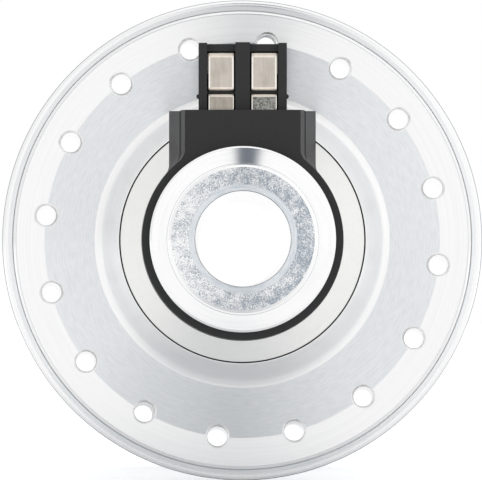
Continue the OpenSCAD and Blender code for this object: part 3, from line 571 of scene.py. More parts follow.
def block(name: str, low: Sequence[float], high: Sequence[float], bevel: float = 0.0) -> Object:
    """Makes a block between two corners, with bevelled edges.

    Args:
        name: the piece's name.
        low: its lowest corner in mm.
        high: its highest corner in mm.
        bevel: the bevel's width in mm.

    Returns:
        The block.
    """
    bpy.ops.object.select_all(action="DESELECT")
    bpy.ops.mesh.primitive_cube_add(size=1)
    piece = bpy.context.object
    piece.name = name
    edit(piece)
    bpy.ops.transform.resize(value=[(h - l) * MM for l, h in zip(low, high)])
    bpy.ops.transform.translate(value=[(l + h) / 2 * MM for l, h in zip(low, high)])
    if bevel:
        bpy.ops.mesh.bevel(offset=bevel * MM, segments=BEVEL_SEGMENTS, affect="EDGES")
    return close_edit()


def apply_modifier(piece: Object, kind: str, **settings: Any) -> None:
    """Adds a modifier to a piece, sets it and applies it.

    Args:
        piece: the piece.
        kind: the modifier's type.
        settings: the modifier's settings by name.
    """
    pick(piece)
    bpy.ops.object.modifier_add(type=kind)
    modifier = piece.modifiers[-1]
    for name, value in settings.items():
        setattr(modifier, name, value)
    bpy.ops.object.modifier_apply(modifier=modifier.name)


def combine(piece: Object, tool: Object, operation: str = "DIFFERENCE") -> None:
    """Cuts a tool out of a piece, or joins it on, and removes the tool.

    Args:
        piece: the piece.
        tool: the tool.
        operation: DIFFERENCE or UNION.
    """
    apply_modifier(piece, "BOOLEAN", object=tool, operation=operation, solver="EXACT")
    bpy.data.objects.remove(tool)


def place_round(tool: Object, count: int, radius: float, first: float) -> Object:
    """Moves a tool off the axle and repeats it evenly about the axle.

    Args:
        tool: a round tool on the axle.
        count: the number of copies.
        radius: the distance from the axle in mm.
        first: the first copy's angle in degrees, from +X towards +Z.

    Returns:
        The tool with its copies.
    """
    angle = math.radians(first)
    edit(tool)
    bpy.ops.transform.translate(value=(radius * math.cos(angle) * MM, 0, radius * math.sin(angle) * MM))
    bpy.ops.mesh.spin(
        dupli=True, steps=count - 1, angle=math.tau * (count - 1) / count,
        center=(0, 0, 0), axis=(0, 1, 0),
    )
    clean()
    return close_edit()


class Assembly(ABC):
    """A sub-assembly that builds its pieces and dresses them."""

    @abstractmethod
    def build(self) -> None:
        """Builds and dresses the pieces."""

    def hand_over(
        self, piece: Object, node: str, body: Body, slot: str, finishes: Sequence[Finish],
        choose: Callable[[Vector, Vector], Finish] | None = None,
    ) -> None:
        """Smooths a piece, paints its faces and puts it in its node's place.

        Args:
            piece: the finished piece.
            node: the CAD node that it replaces.
            body: the body that it rides on.
            slot: the record's material slot; not used.
            finishes: the piece's finishes.
            choose: gives a face's finish by its centre in mm and its normal.
        """
        pick(piece)
        bpy.ops.object.shade_smooth_by_angle(angle=SMOOTH_ANGLE)
        apply_modifier(piece, "WEIGHTED_NORMAL", keep_sharp=True)
        piece.data.materials.clear()
        for finish in finishes:
            piece.data.materials.append(finish.material())
        places = {finish: i for i, finish in enumerate(finishes)}
        for face in piece.data.polygons:
            face.material_index = places[choose(face.center / MM, face.normal)] if choose else 0
        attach(piece, body.value)
        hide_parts(node)
        log.info("%s: %d faces on %s", piece.name, len(piece.data.polygons), body.value)


# The wheel's side of the hub

@dataclass
class SpokeHoles:
    """The ring of countersunk spoke holes that each flange has, in mm and degrees."""

    count: int = 16
    hole_r: float = 1.3
    edge: float = 0.2
    first: float = 15.3
    steps: int = 40

    def tool(self, circle_r: float, near: float, far: float, countersink: float) -> Object:
        """Makes the drills for one flange.

        Args:
            circle_r: radius of the spoke circle.
            near: the flange's face at the lower Y.
            far: its face at the higher Y.
            countersink: depth of the countersinks.

        Returns:
            The drills.
        """
        wide = self.hole_r + countersink + PROUD
        drill = turned("spoke_drill", [
            Corner(0, near - PROUD),
            Corner(wide, near - PROUD),
            Corner(self.hole_r, near + countersink, self.edge),
            Corner(self.hole_r, far - countersink, self.edge),
            Corner(wide, far + PROUD),
            Corner(0, far + PROUD),
        ], self.steps, solid=True)
        return place_round(drill, self.count, circle_r, self.first)


@dataclass
class ShellHalf(Assembly):
    """What both halves of the hub's shell share, in mm."""

    spokes: SpokeHoles
    bearing_r: float = 16.0
    barrel_r: float = 23.5
    barrel_fillet: float = 1.2
    seam_y: float = -20.5
    seam_chamfer: float = 0.25
    rim_chamfer: float = 0.4
    rim_edge: float = 0.12


@dataclass
class RightFlange(ShellHalf):
    """The right flange with its boss, its stepped rim and its skirt, in mm."""

    steps: int = 256
    mouth_r: float = 16.09
    boss_y: float = -31.4
    edge_r: float = 16.22
    foot_r: float = 18.68
    foot_y: float = -27.48
    foot_rounding: float = 1.39
    foot_room: float = 1.0
    spoke_r: float = 26.0
    spoke_room: float = 2.0
    countersink: float = 0.28
    line_r: float = 29.72
    line_w: float = 0.06
    face_y: float = -27.0
    face_r: float = 30.1
    face_chamfer: float = 0.3
    land_y: float = -26.0
    groove_step: float = 0.14
    groove_half: float = 0.25
    cove_end_r: float = 30.85
    cove_rounding: float = 0.8
    rim_r: float = 31.6
    back_y: float = -24.0
    back_room: float = 0.3
    skirt_r: float = 21.5
    skirt_in_r: float = 19.1
    skirt_y: float = -15.0
    seal_r: float = 20.2
    seal_y: float = -18.43
    seal_w: float = 1.36
    inside_y: float = -21.3
    shoulder_r: float = 14.6
    shoulder_y: float = -23.3
    bearing_y: float = -30.3

    def corners(self) -> list[Corner]:
        """Gives the flange's profile, from the boss's mouth outwards and back inside."""
        line_half = self.line_w / 2
        seal_end = self.seal_y + self.seal_w
        groove_r = self.face_r + self.groove_step
        return [
            Corner(self.mouth_r, self.boss_y, 0.04),
            Corner(self.edge_r, self.boss_y, 0.06),
            Corner(self.foot_r, self.foot_y, self.foot_rounding),
            Corner(self.spoke_r, self.face_y),
            Corner(self.line_r - line_half, self.face_y),
            Corner(self.line_r, self.face_y + line_half),
            Corner(self.line_r + line_half, self.face_y),
            Corner(self.face_r - self.face_chamfer, self.face_y, 0.06),
            Corner(self.face_r, self.face_y + self.face_chamfer, 0.08),
            Corner(self.face_r, self.land_y + self.groove_half),
            Corner(groove_r, self.land_y + self.groove_half),
            Corner(groove_r, self.land_y - self.groove_half, 0.03),
            Corner(self.cove_end_r, self.land_y, self.cove_rounding),
            Corner(self.rim_r - self.rim_chamfer, self.land_y, 0.2),
            Corner(self.rim_r, self.land_y + self.rim_chamfer, 0.3),
            Corner(self.rim_r, self.back_y - self.rim_chamfer, 0.3),
            Corner(self.rim_r - self.rim_chamfer, self.back_y, 0.2),
            Corner(self.barrel_r, self.back_y, self.barrel_fillet),
            Corner(self.barrel_r, self.seam_y - self.seam_chamfer, 0.1),
            Corner(self.barrel_r - self.seam_chamfer, self.seam_y, 0.05),
            Corner(self.skirt_r, self.seam_y),
            Corner(self.skirt_r, self.seal_y, 0.1),
            Corner(self.seal_r, self.seal_y, 0.15),
            Corner(self.seal_r, seal_end, 0.15),
            Corner(self.skirt_r, seal_end, 0.1),
            Corner(self.skirt_r, self.skirt_y, 0.3),
            Corner(self.skirt_in_r, self.skirt_y, 0.3),
            Corner(self.skirt_in_r, self.inside_y, 0.5),
            Corner(self.shoulder_r, self.inside_y, 0.2),
            Corner(self.shoulder_r, self.shoulder_y, 0.1),
            Corner(self.bearing_r, self.shoulder_y, 0.1),
            Corner(self.bearing_r, self.bearing_y),
            Corner(self.mouth_r, self.bearing_y),
        ]

    def finish_of(self, centre: Vector, normal: Vector) -> Finish:
        """Gives the finish of a face by its centre and its normal."""
        reach = math.hypot(centre.x, centre.z)
        outwards = (normal.x * centre.x + normal.z * centre.z) / reach
        along = abs(normal.y)
        # The rim's groove and the fine line on the face get painted shade
        if self.face_r < reach < self.face_r + self.groove_step and centre.y > self.land_y:
            return RIM_GROOVE_SHADED
        if abs(reach - self.line_r) < self.line_w / 2 and centre.y < self.face_y + self.line_w:
            return RIM_GROOVE_SHADED
        # The boss's mouth beside the dust cover gets painted shade
        if reach < self.mouth_r + SAME and centre.y < self.bearing_y + NEAR:
            return GAP_SHADE
        # The rim's outer edge gets painted shade
        if reach > self.rim_r - self.rim_edge:
            return RIM_SIDE_SHADED
        if abs(reach - self.spoke_r) < self.spoke_room and along < FLAT:
            return FLANGE_INNER if along < WALL else FLANGE_FLAT
        if centre.y > self.back_y - self.back_room and reach < self.rim_r - self.rim_chamfer - NEAR:
            return FLANGE_INNER if normal.y > SLOPE and reach > self.barrel_r else BARREL
        if reach < self.foot_r + self.foot_room:
            return BARREL if outwards < -HALF else BOSS_WALL
        if reach < self.spoke_r:
            return FLANGE_CONE
        if reach > self.cove_end_r:
            return RIM_LAND
        return RIM_COVE if reach > self.face_r else FLANGE_FLAT

    def build(self) -> None:
        """Turns the flange, drills it, keeps the edge of its flat face sharp and dresses it."""
        piece = turned("flange_cover_right", self.corners(), self.steps)
        combine(piece, self.spokes.tool(self.spoke_r, self.face_y, self.back_y, self.countersink))
        edit(piece)
        choose_points(piece, lambda p: (
            abs(math.hypot(p.x, p.z) - self.spoke_r) < 2 * SAME and abs(p.y - self.face_y) < SAME
        ))
        bpy.ops.mesh.mark_sharp()
        close_edit()
        finishes = [
            FLANGE_FLAT, FLANGE_CONE, BOSS_WALL, BARREL, RIM_SIDE_SHADED, RIM_GROOVE_SHADED, GAP_SHADE, RIM_COVE,
            FLANGE_INNER, RIM_LAND,
        ]
        self.hand_over(
            piece, "right_flange_cover", Body.WHEEL, "turned_aluminium", finishes, self.finish_of
        )


@dataclass
class HubShell(ShellHalf):
    """The barrel with the left flange and the six-bolt seat of the brake disc, in mm."""

    steps: int = 192
    bore_r: float = 21.5
    bore_y: float = 17.5
    flange_y: float = 22.5
    face_y: float = 25.5
    rim_r: float = 31.0
    taper: float = 0.5
    spoke_r: float = 27.7
    countersink: float = 0.1
    boss_r: float = 25.3
    boss_chamfer: float = 0.5
    disc_y: float = 39.5
    spigot_r: float = 17.45
    spigot_chamfer: float = 0.4
    mouth_y: float = 41.5
    lip_r: float = 14.6
    lip_y: float = 40.3
    bearing_y: float = 33.3
    hollow_r: float = 17.0
    bolt_count: int = 6
    bolt_first: float = 90.0
    bolt_circle_r: float = 22.0
    bolt_core_r: float = 2.1
    bolt_crest_r: float = 2.42
    bolt_pitch: float = 0.8
    bolt_depth: float = 11.0
    bolt_tip: float = 0.8
    bolt_start: float = 1.2
    bolt_plain: float = 2.0
    bolt_countersink: float = 0.5
    bolt_steps: int = 28
    scallop_r: float = 6.5
    scallop_depth: float = 3.2
    scallop_y: float = 28.0
    scallop_rounding: float = 1.2
    scallop_steps: int = 96
    scallop_turn: float = 12.5

    def corners(self) -> list[Corner]:
        """Gives the shell's profile, from the seam along the outside and back inside."""
        inner_y = self.flange_y + self.taper
        return [
            Corner(self.bore_r, self.seam_y),
            Corner(self.barrel_r - self.seam_chamfer, self.seam_y, 0.05),
            Corner(self.barrel_r, self.seam_y + self.seam_chamfer, 0.1),
            Corner(self.barrel_r, self.flange_y, self.barrel_fillet),
            Corner(self.rim_r - self.rim_chamfer, inner_y, 0.3),
            Corner(self.rim_r, inner_y + self.rim_chamfer, 0.3),
            Corner(self.rim_r, self.face_y - self.rim_chamfer, 0.3),
            Corner(self.rim_r - self.rim_chamfer, self.face_y, 0.3),
            Corner(self.boss_r, self.face_y, 0.4),
            Corner(self.boss_r, self.disc_y - self.boss_chamfer, 0.2),
            Corner(self.boss_r - self.boss_chamfer, self.disc_y, 0.15),
            Corner(self.spigot_r, self.disc_y, 0.12),
            Corner(self.spigot_r, self.mouth_y - self.spigot_chamfer, 0.1),
            Corner(self.spigot_r - self.spigot_chamfer, self.mouth_y, 0.1),
            Corner(self.lip_r, self.mouth_y, 0.2),
            Corner(self.lip_r, self.lip_y),
            Corner(self.bearing_r, self.lip_y),
            Corner(self.bearing_r, self.bearing_y),
            Corner(self.hollow_r, self.bearing_y - self.hollow_r + self.bearing_r),
            Corner(self.hollow_r, self.bore_y, 0.3),
            Corner(self.bore_r, self.bore_y, 0.3),
        ]

    def bolt_tool(self) -> Object:
        """Makes the tool for the threaded holes, with a groove for each turn of the thread.

        Returns:
            The tool for all the holes.
        """
        bottom = self.disc_y - self.bolt_depth
        corners = [Corner(0, bottom), Corner(self.bolt_core_r, bottom + self.bolt_tip)]
        for i in range(int((self.bolt_depth - self.bolt_plain) / self.bolt_pitch)):
            y = bottom + self.bolt_start + i * self.bolt_pitch
            corners += [
                Corner(self.bolt_core_r, y),
                Corner(self.bolt_crest_r, y + 0.4 * self.bolt_pitch),
                Corner(self.bolt_core_r, y + 0.8 * self.bolt_pitch),
            ]
        corners += [
            Corner(self.bolt_core_r, self.disc_y - self.bolt_countersink),
            Corner(self.bolt_core_r + self.bolt_countersink + PROUD, self.disc_y + PROUD),
            Corner(0, self.disc_y + PROUD),
        ]
        drill = turned("bolt_drill", corners, self.bolt_steps, solid=True)
        return place_round(drill, self.bolt_count, self.bolt_circle_r, self.bolt_first)

    def scallop_tool(self) -> Object:
        """Makes the cutter for the scallops between the bolts.

        Returns:
            The cutter for all the scallops.
        """
        cutter = turned("scallop_cutter", [
            Corner(0, self.scallop_y),
            Corner(self.scallop_r, self.scallop_y, self.scallop_rounding),
            Corner(self.scallop_r, self.disc_y + PROUD),
            Corner(0, self.disc_y + PROUD),
        ], self.scallop_steps, solid=True)
        reach = self.boss_r + self.scallop_r - self.scallop_depth
        return place_round(cutter, self.bolt_count, reach, self.bolt_first + 180 / self.bolt_count)

    def finish_of(self, centre: Vector, normal: Vector) -> Finish:
        """Gives the finish of a face by its centre and its normal."""
        reach = math.hypot(centre.x, centre.z)
        # The rim's outer edge gets painted shade
        if reach > self.rim_r - self.rim_edge:
            return RIM_SIDE_SHADED
        near, far = self.flange_y - self.taper, self.face_y - NEAR
        if reach > self.barrel_r + self.taper and near < centre.y < far:
            return FLANGE_INNER
        step = 360 / self.bolt_count
        turn = (math.degrees(math.atan2(centre.z, centre.x)) - self.bolt_first) % step - step / 2
        deep = self.boss_r - self.scallop_depth - NEAR < reach < self.boss_r - NEAR / 2
        between = self.scallop_y - NEAR < centre.y < self.disc_y - NEAR / 2
        if deep and between and abs(turn) < self.scallop_turn:
            return MILLED
        return FLANGE_CONE if normal.y > FLAT and reach > self.spigot_r else BARREL

    def build(self) -> None:
        """Turns the shell, mills and drills it, and dresses it."""
        piece = turned("shell_and_left_flange", self.corners(), self.steps)
        combine(piece, self.scallop_tool())
        combine(piece, self.bolt_tool())
        combine(piece, self.spokes.tool(self.spoke_r, self.flange_y, self.face_y, self.countersink))
        self.hand_over(
            piece, "hub_shell", Body.WHEEL, "turned_aluminium",
            [BARREL, FLANGE_CONE, FLANGE_INNER, RIM_SIDE_SHADED, MILLED], self.finish_of,
        )


# The axle and what is fixed on it

@dataclass
class AxleGroup(Assembly):
    """The hollow axle with its clamp rings and dust covers, in mm."""

    steps: int = 160
    half_len: float = 50.0
    bore_r: float = 6.1
    bore_chamfer: float = 0.12
    bore_edge: float = 0.05
    band_r: float = 6.95
    end_r: float = 9.5
    end_chamfer: float = 0.35
    thread_r: float = 9.75
    thread_y: float = 45.2
    seat_r: float = 10.0
    seat_right_y: float = -31.6
    seat_left_y: float = 41.6
    wire_slot: Slot = Slot((-2.1, -37.6, 8.0), (2.1, -13.6, 11.5), 0.4)
    keyway: Slot = Slot((-2.0, -4.55, -11.5), (2.0, 7.45, -8.2), 0.2)
    ring_steps: int = 192
    ring_r: float = 11.98
    ring_y: float = 45.0
    ring_fall: float = 0.15
    ring_chamfer: float = 0.25
    ring_back_right_y: float = -43.0
    ring_back_left_y: float = 42.0
    neck_r: float = 11.05
    neck_y: float = -40.0
    collar_r: float = 13.25
    cover_r: float = 15.95
    cover_y: float = -32.0
    cover_edge_y: float = -31.25
    cover_back_y: float = -30.75
    left_cover_r: float = 14.42
    left_cover_y: float = 42.0
    left_cover_back_y: float = 40.75
    race_r: float = 11.7
    right_race_y: float = -30.3
    left_race_y: float = 40.3

    def axle(self) -> None:
        """Turns the axle and mills its wire slot and its keyway."""
        end = self.half_len
        right, left = (
            [
                Corner(self.bore_r + self.bore_chamfer, side * end, 0.06),
                Corner(self.band_r, side * end),
                Corner(self.end_r - self.end_chamfer, side * end, 0.12),
                Corner(self.end_r, side * (end - self.end_chamfer), 0.12),
                Corner(self.end_r, side * self.thread_y),
                Corner(self.thread_r, side * self.thread_y, 0.06),
            ]
            for side in (-1, 1)
        )
        seat = [
            Corner(self.thread_r, self.seat_right_y),
            Corner(self.seat_r, self.seat_right_y, 0.08),
            Corner(self.seat_r, self.seat_left_y, 0.08),
            Corner(self.thread_r, self.seat_left_y),
        ]
        bore = [Corner(self.bore_r, side * (end - self.bore_chamfer), 0.06) for side in (1, -1)]
        piece = turned("axle_tube", right + seat + left[::-1] + bore, self.steps)
        combine(piece, block("wire_slot", *self.wire_slot))
        combine(piece, block("keyway", *self.keyway))
        self.hand_over(
            piece, "axle", Body.AXLE, "zinc_plated_steel", [ZINC, ZINC_BAND, BORE], self.axle_finish
        )

    def axle_finish(self, centre: Vector, normal: Vector) -> Finish:
        """Gives the finish of a face of the axle by its centre and its normal."""
        reach = math.hypot(centre.x, centre.z)
        chamfer = reach > self.end_r - self.end_chamfer and abs(normal.y) > SHEER
        if chamfer or reach < self.bore_r + self.bore_edge:
            return BORE
        return ZINC_BAND if reach < self.band_r or abs(normal.y) < HALF else ZINC

    def clamp_rings(self) -> None:
        """Turns the two clamp rings."""
        face = self.ring_y - self.ring_fall
        profiles = {
            "right": [
                Corner(self.thread_r, -self.ring_y, 0.05),
                Corner(self.ring_r - self.ring_chamfer, -face, 0.12),
                Corner(self.ring_r, -face + self.ring_chamfer, 0.12),
                Corner(self.ring_r, self.ring_back_right_y),
                Corner(self.neck_r, self.ring_back_right_y),
                Corner(self.neck_r, self.neck_y, 0.2),
                Corner(self.thread_r, self.neck_y, 0.1),
            ],
            "left": [
                Corner(self.thread_r, self.ring_back_left_y),
                Corner(self.ring_r, self.ring_back_left_y, 0.1),
                Corner(self.ring_r, face - self.ring_chamfer, 0.12),
                Corner(self.ring_r - self.ring_chamfer, face, 0.12),
                Corner(self.thread_r, self.ring_y, 0.05),
            ],
        }
        for side, corners in profiles.items():
            self.hand_over(
                turned(f"clamp_ring_{side}", corners, self.ring_steps), f"{side}_clamp_ring",
                Body.AXLE, "polished_aluminium", [RING_FACE, BARREL],
                lambda centre, normal: BARREL if abs(normal.y) < SHEER else RING_FACE,
            )

    def dust_covers(self) -> None:
        """Turns the two dust covers."""
        right = turned("dust_cover_right", [
            Corner(self.seat_r, self.cover_y),
            Corner(self.collar_r, self.cover_y, 0.3),
            Corner(self.cover_r, self.cover_edge_y, 0.04),
            Corner(self.cover_r, self.cover_back_y, 0.05),
            Corner(self.race_r, self.cover_back_y),
            Corner(self.race_r, self.right_race_y),
            Corner(self.seat_r, self.right_race_y),
        ], self.steps)
        self.hand_over(
            right, "right_dust_cover", Body.AXLE, "turned_aluminium", [COVER, GAP_SHADE],
            # The cover's rim in the gap gets painted shade
            lambda centre, normal: (
                GAP_SHADE if math.hypot(centre.x, centre.z) > self.cover_r - SAME else COVER
            ),
        )
        left = turned("dust_cover_left", [
            Corner(self.seat_r, self.left_race_y),
            Corner(self.race_r, self.left_race_y),
            Corner(self.race_r, self.left_cover_back_y),
            Corner(self.left_cover_r, self.left_cover_back_y, 0.05),
            Corner(self.left_cover_r, self.left_cover_y, 0.2),
            Corner(self.seat_r, self.left_cover_y),
        ], self.steps)
        self.hand_over(left, "left_dust_cover", Body.AXLE, "turned_aluminium", [COVER])

    def build(self) -> None:
        """Builds the axle, its rings and its covers."""
        self.axle()
        self.clamp_rings()
        self.dust_covers()


# The connector

@dataclass(frozen=True)
class HousingSection:
    """A section of the connector housing square to the axle, in mm."""

    CORNER_STEPS: ClassVar[int] = 4
    CURVE_STEPS: ClassVar[int] = 8
    COLLAR_STEPS: ClassVar[int] = 48

    y: float
    half: float
    collar_r: float
    top: float
    curve: float = 2.0
    corner: float = 0.1

    def outline(self) -> list[Vector]:
        """Draws the section, clockwise from the top, as seen from the right of the bicycle.

        Returns:
            Points in metres.
        """
        side = self.half + self.curve
        height = math.sqrt((self.collar_r + self.curve) ** 2 - side * side)
        touch = math.atan2(height, side)
        arcs = [
            (self.half - self.corner, self.top - self.corner, self.corner,
             math.pi / 2, 0.0, 0, self.CORNER_STEPS),
            (side, height, self.curve, math.pi, math.pi + touch, 0, self.CURVE_STEPS),
            (0.0, 0.0, self.collar_r, touch, -math.pi / 2, 1, self.COLLAR_STEPS),
        ]
        right = []
        for x, z, radius, start, end, skipped, steps in arcs:
            for k in range(skipped, steps + 1):
                angle = start + (end - start) * k / steps
                right.append((x + radius * math.cos(angle), z + radius * math.sin(angle)))
        left = [(-x, z) for x, z in right[-2::-1]]
        return [Vector((x, self.y, z)) * MM for x, z in right + left]


@dataclass
class Connector(Assembly):
    """The moulded housing with its terminal block and its two contact strips, in mm."""

    front: HousingSection = HousingSection(-43.0, 7.45, 12.98, 16.68)
    parting_near: HousingSection = HousingSection(-39.6, 8.03, 13.05, 16.74)
    parting_far: HousingSection = HousingSection(-39.5, 8.17, 13.06, 16.62)
    back: HousingSection = HousingSection(-32.0, 9.58, 13.2, 16.84)
    front_bevel: float = 0.09
    bore_r: float = 9.85
    bore_steps: int = 160
    counterbore_r: float = 11.15
    counterbore_y: float = -40.0
    pocket: Slot = Slot((-5.8, -41.4, 14.4), (5.8, -33.6, 18.68), 0.15)
    tail_slot: Slot = Slot((-4.6, -38.4, 4.0), (4.6, -34.5, 15.4), 0.15)
    block_half: float = 5.7
    block_y: float = -41.3
    block_end_y: float = -33.7
    block_top: float = 25.45
    block_bevel: float = 0.1
    side_top: float = 25.37
    roof_top: float = 25.26
    # A black bar that stands in for the shade under each strip's curl: painted shade
    bar_low: float = 18.84
    bar_high: float = 19.18
    bar_y: float = -40.0
    bar_t: float = 1.0
    bar_root: float = 0.1
    window_x: float = 2.775
    window_half: float = 1.825
    window_low: float = 15.5
    roof_z: float = 24.3
    roof_y: float = -40.1
    strip_y: float = -35.7
    strip_t: float = 0.4
    strip_half: float = 1.625
    strip_front_y: float = -40.5
    strip_top: float = 24.12
    strip_bend: float = 0.42
    strip_bevel: float = 0.06
    strip_border: float = 0.2
    tab_border: float = 0.1
    border_from: float = 1.0
    tab_bend: float = 0.26
    strip_end: float = 19.24
    strip_tail: float = 12.6
    strip_front_room: float = 1.0
    tab_top: float = 18.78
    tab_end: float = 15.7
    painted_highlight_band: float = 0.15
    ear_t: float = 0.14
    ear_low: float = 21.4
    ear_drop: float = 0.1
    ear_bevel: float = 0.04
    nub_r: float = 0.3
    nub_len: float = 0.6
    nub_y: float = -37.5
    nub_z: float = 18.56
    nub_steps: int = 32

    def housing(self) -> None:
        """Lofts the housing through its sections, then bores it and sinks its pocket."""
        sections = [self.front, self.parting_near, self.parting_far, self.back]
        for i, section in enumerate(sections):
            draw(section.outline(), None if i else "connector_shell")
            choose_points(bpy.context.object, lambda p, y=section.y: abs(p.y - y) < SAME)
            close_ring()
        piece = bpy.context.object
        for near, far in zip(sections, sections[1:]):
            choose_points(piece, lambda p, a=near.y, b=far.y: min(abs(p.y - a), abs(p.y - b)) < SAME)
            bpy.ops.mesh.bridge_edge_loops()
        for section in (self.front, self.back):
            choose_points(piece, lambda p, y=section.y: abs(p.y - y) < SAME)
            bpy.ops.mesh.edge_face_add()
        clean()
        choose_points(piece, lambda p: abs(p.y - self.front.y) < SAME)
        bpy.ops.mesh.bevel(offset=self.front_bevel * MM, segments=BEVEL_SEGMENTS, affect="EDGES")
        clean()
        close_edit()
        combine(piece, turned("housing_bore", [
            Corner(0, self.front.y - PROUD),
            Corner(self.counterbore_r, self.front.y - PROUD),
            Corner(self.counterbore_r, self.counterbore_y),
            Corner(self.bore_r, self.counterbore_y),
            Corner(self.bore_r, self.back.y + PROUD),
            Corner(0, self.back.y + PROUD),
        ], self.bore_steps, solid=True))
        combine(piece, block("pocket", *self.pocket))
        combine(piece, block("tail_slot", *self.tail_slot))
        self.hand_over(piece, "connector_housing", Body.AXLE, "black_plastic", [BLACK])

    def terminal_block(self) -> None:
        """Cuts the windows into the terminal block, adds a black bar across each window as painted shade
        under the strip's curl, bevels it and adds its snap nubs.
        """
        floor = self.pocket.low[2]
        piece = block(
            "terminal_frame", (-self.block_half, self.block_y, floor),
            (self.block_half, self.block_end_y, self.block_top),
        )
        before, behind = self.block_y - PROUD, self.block_end_y + PROUD
        over = self.block_top + PROUD
        for side in Side:
            middle = side.value * self.window_x
            low = middle - self.window_half
            high = low + 2 * self.window_half
            inner, outer = sorted((
                side.value * (self.window_x - self.window_half), side.value * (self.block_half + PROUD)
            ))
            for near, far in (
                ((low, before, self.window_low), (high, self.strip_y, self.roof_z)),
                ((low, before, self.roof_z - PROUD), (high, self.roof_y, over)),
                ((low, before, self.roof_top), (high, behind, over)),
                ((inner, before, self.side_top), (outer, behind, over)),
            ):
                combine(piece, block("window_cutter", near, far))
            # A black bar across the window, where the strip's curl casts its shade: painted shade in
            # black plastic
            combine(piece, block(
                "bar", (low - self.bar_root, self.bar_y, self.bar_low),
                (high + self.bar_root, self.bar_y + self.bar_t, self.bar_high),
            ), "UNION")
            combine(piece, block(
                "strip_slot",
                (middle - self.strip_half, self.strip_y - self.strip_t, floor - PROUD),
                (middle + self.strip_half, self.strip_y, self.window_low + PROUD),
            ))
        self.bevel(piece, self.block_bevel)
        self.join(piece, self.nubs())
        self.hand_over(piece, "terminal_block", Body.AXLE, "black_plastic", [BLACK])

    def bevel(self, piece: Object, width: float) -> None:
        """Rounds a piece's edges to a width in mm."""
        apply_modifier(piece, "BEVEL", width=width * MM, segments=BEVEL_SEGMENTS, limit_method="ANGLE")

    def join(self, piece: Object, *others: Object) -> None:
        """Makes other pieces part of one piece."""
        pick(piece, *others)
        bpy.ops.object.join()

    def nubs(self) -> Object:
        """Makes the two snap nubs: short bars with rounded flanks, half sunk in the block's sides.

        Returns:
            The nubs as one piece.
        """
        bpy.ops.object.select_all(action="DESELECT")
        bpy.ops.mesh.primitive_uv_sphere_add(
            segments=self.nub_steps, ring_count=self.nub_steps // 2, radius=self.nub_r * MM
        )
        piece = bpy.context.object
        edit(piece)
        choose_points(piece, lambda p: p.y > SAME / 10)
        bpy.ops.transform.translate(value=(0, self.nub_len * MM, 0))
        bpy.ops.mesh.select_all(action="SELECT")
        bpy.ops.transform.translate(value=(
            self.block_half * MM, (self.nub_y - self.nub_len / 2) * MM, self.nub_z * MM,
        ))
        bpy.ops.mesh.duplicate_move(
            TRANSFORM_OT_translate={"value": (-2 * self.block_half * MM, 0, 0)}
        )
        return close_edit()

    def folded(self, name: str, side: Side, border: float, corners: Sequence[Corner]) -> Object:
        """Folds a strip, gives it its thickness, rounds its edges and marks off a border on its front.

        Args:
            name: the piece's name.
            side: the side of the connector.
            border: the border's width.
            corners: the strip's side view, with Y in place of a radius and Z in place of Y.

        Returns:
            The strip.
        """
        low = side.value * self.window_x - self.strip_half
        draw([Vector((low * MM, p.x, p.y)) for p in rounded(corners)], name)
        bpy.ops.mesh.select_all(action="SELECT")
        bpy.ops.mesh.extrude_region_move(
            TRANSFORM_OT_translate={"value": (2 * self.strip_half * MM, 0, 0)}
        )
        clean()
        piece = close_edit()
        apply_modifier(piece, "SOLIDIFY", thickness=self.strip_t * MM, offset=0.0, use_even_offset=True)
        self.bevel(piece, self.strip_bevel)
        edit(piece)
        # The bevel's first points lie close behind the front, so the test is a narrow one
        choose_points(piece, lambda p: abs(p.y - self.strip_front_y) < SAME / 25)
        bpy.ops.mesh.inset(thickness=border * MM, depth=0)
        return close_edit()

    def contact(self, side: Side) -> None:
        """Makes a contact: a folded strip, the tab below its curled end and the ear on its outer side.

        Args:
            side: the side of the connector.
        """
        half_t = self.strip_t / 2
        bend, tab_bend = self.strip_bend - half_t, self.tab_bend - half_t
        back, front = self.strip_y - half_t, self.strip_front_y + half_t
        top, end, tab_top = self.strip_top - half_t, self.strip_end + half_t, self.tab_top - half_t
        piece = self.folded(f"{side.name.lower()}_contact_strip", side, self.strip_border, [
            Corner(back, self.strip_tail),
            Corner(back, top, bend),
            Corner(front, top, bend),
            Corner(front, end, tab_bend),
            Corner(front + bend, end),
        ])
        tab = self.folded("tab", side, self.tab_border, [
            Corner(back, tab_top), Corner(front, tab_top, tab_bend), Corner(front, self.tab_end),
        ])
        edge = side.value * (self.window_x + self.strip_half)
        inner, outer = sorted((edge, edge + side.value * self.ear_t))
        ear = block(
            "ear", (inner, front, self.ear_low),
            (outer, self.strip_y, self.strip_top - self.ear_drop), self.ear_bevel,
        )
        self.join(piece, tab, ear)
        self.hand_over(
            piece, f"{side.name.lower()}_contact", Body.AXLE, "nickel_plated_brass",
            [NICKEL, NICKEL_EDGE_HIGHLIGHT, NICKEL_WORN, NICKEL_SHADED, NICKEL_BORDER_HIGHLIGHT],
            lambda centre, normal: self.strip_finish(side, centre, normal),
        )

    def strip_finish(self, side: Side, centre: Vector, normal: Vector) -> Finish:
        """Gives the finish of a face of a contact.

        Args:
            side: the side of the connector.
            centre: the face's centre in mm.
            normal: its normal.

        Returns:
            The finish.
        """
        aside = abs(centre.x - side.value * self.window_x)
        # The ear beside the strip gets painted shade
        if aside > self.strip_half + SAME:
            return NICKEL_SHADED
        # Rounded edges get a painted highlight
        at_front = centre.y < self.strip_front_y + self.strip_front_room
        if abs(normal.x) > SHEER or (abs(normal.z) > SHEER and at_front):
            return NICKEL_EDGE_HIGHLIGHT
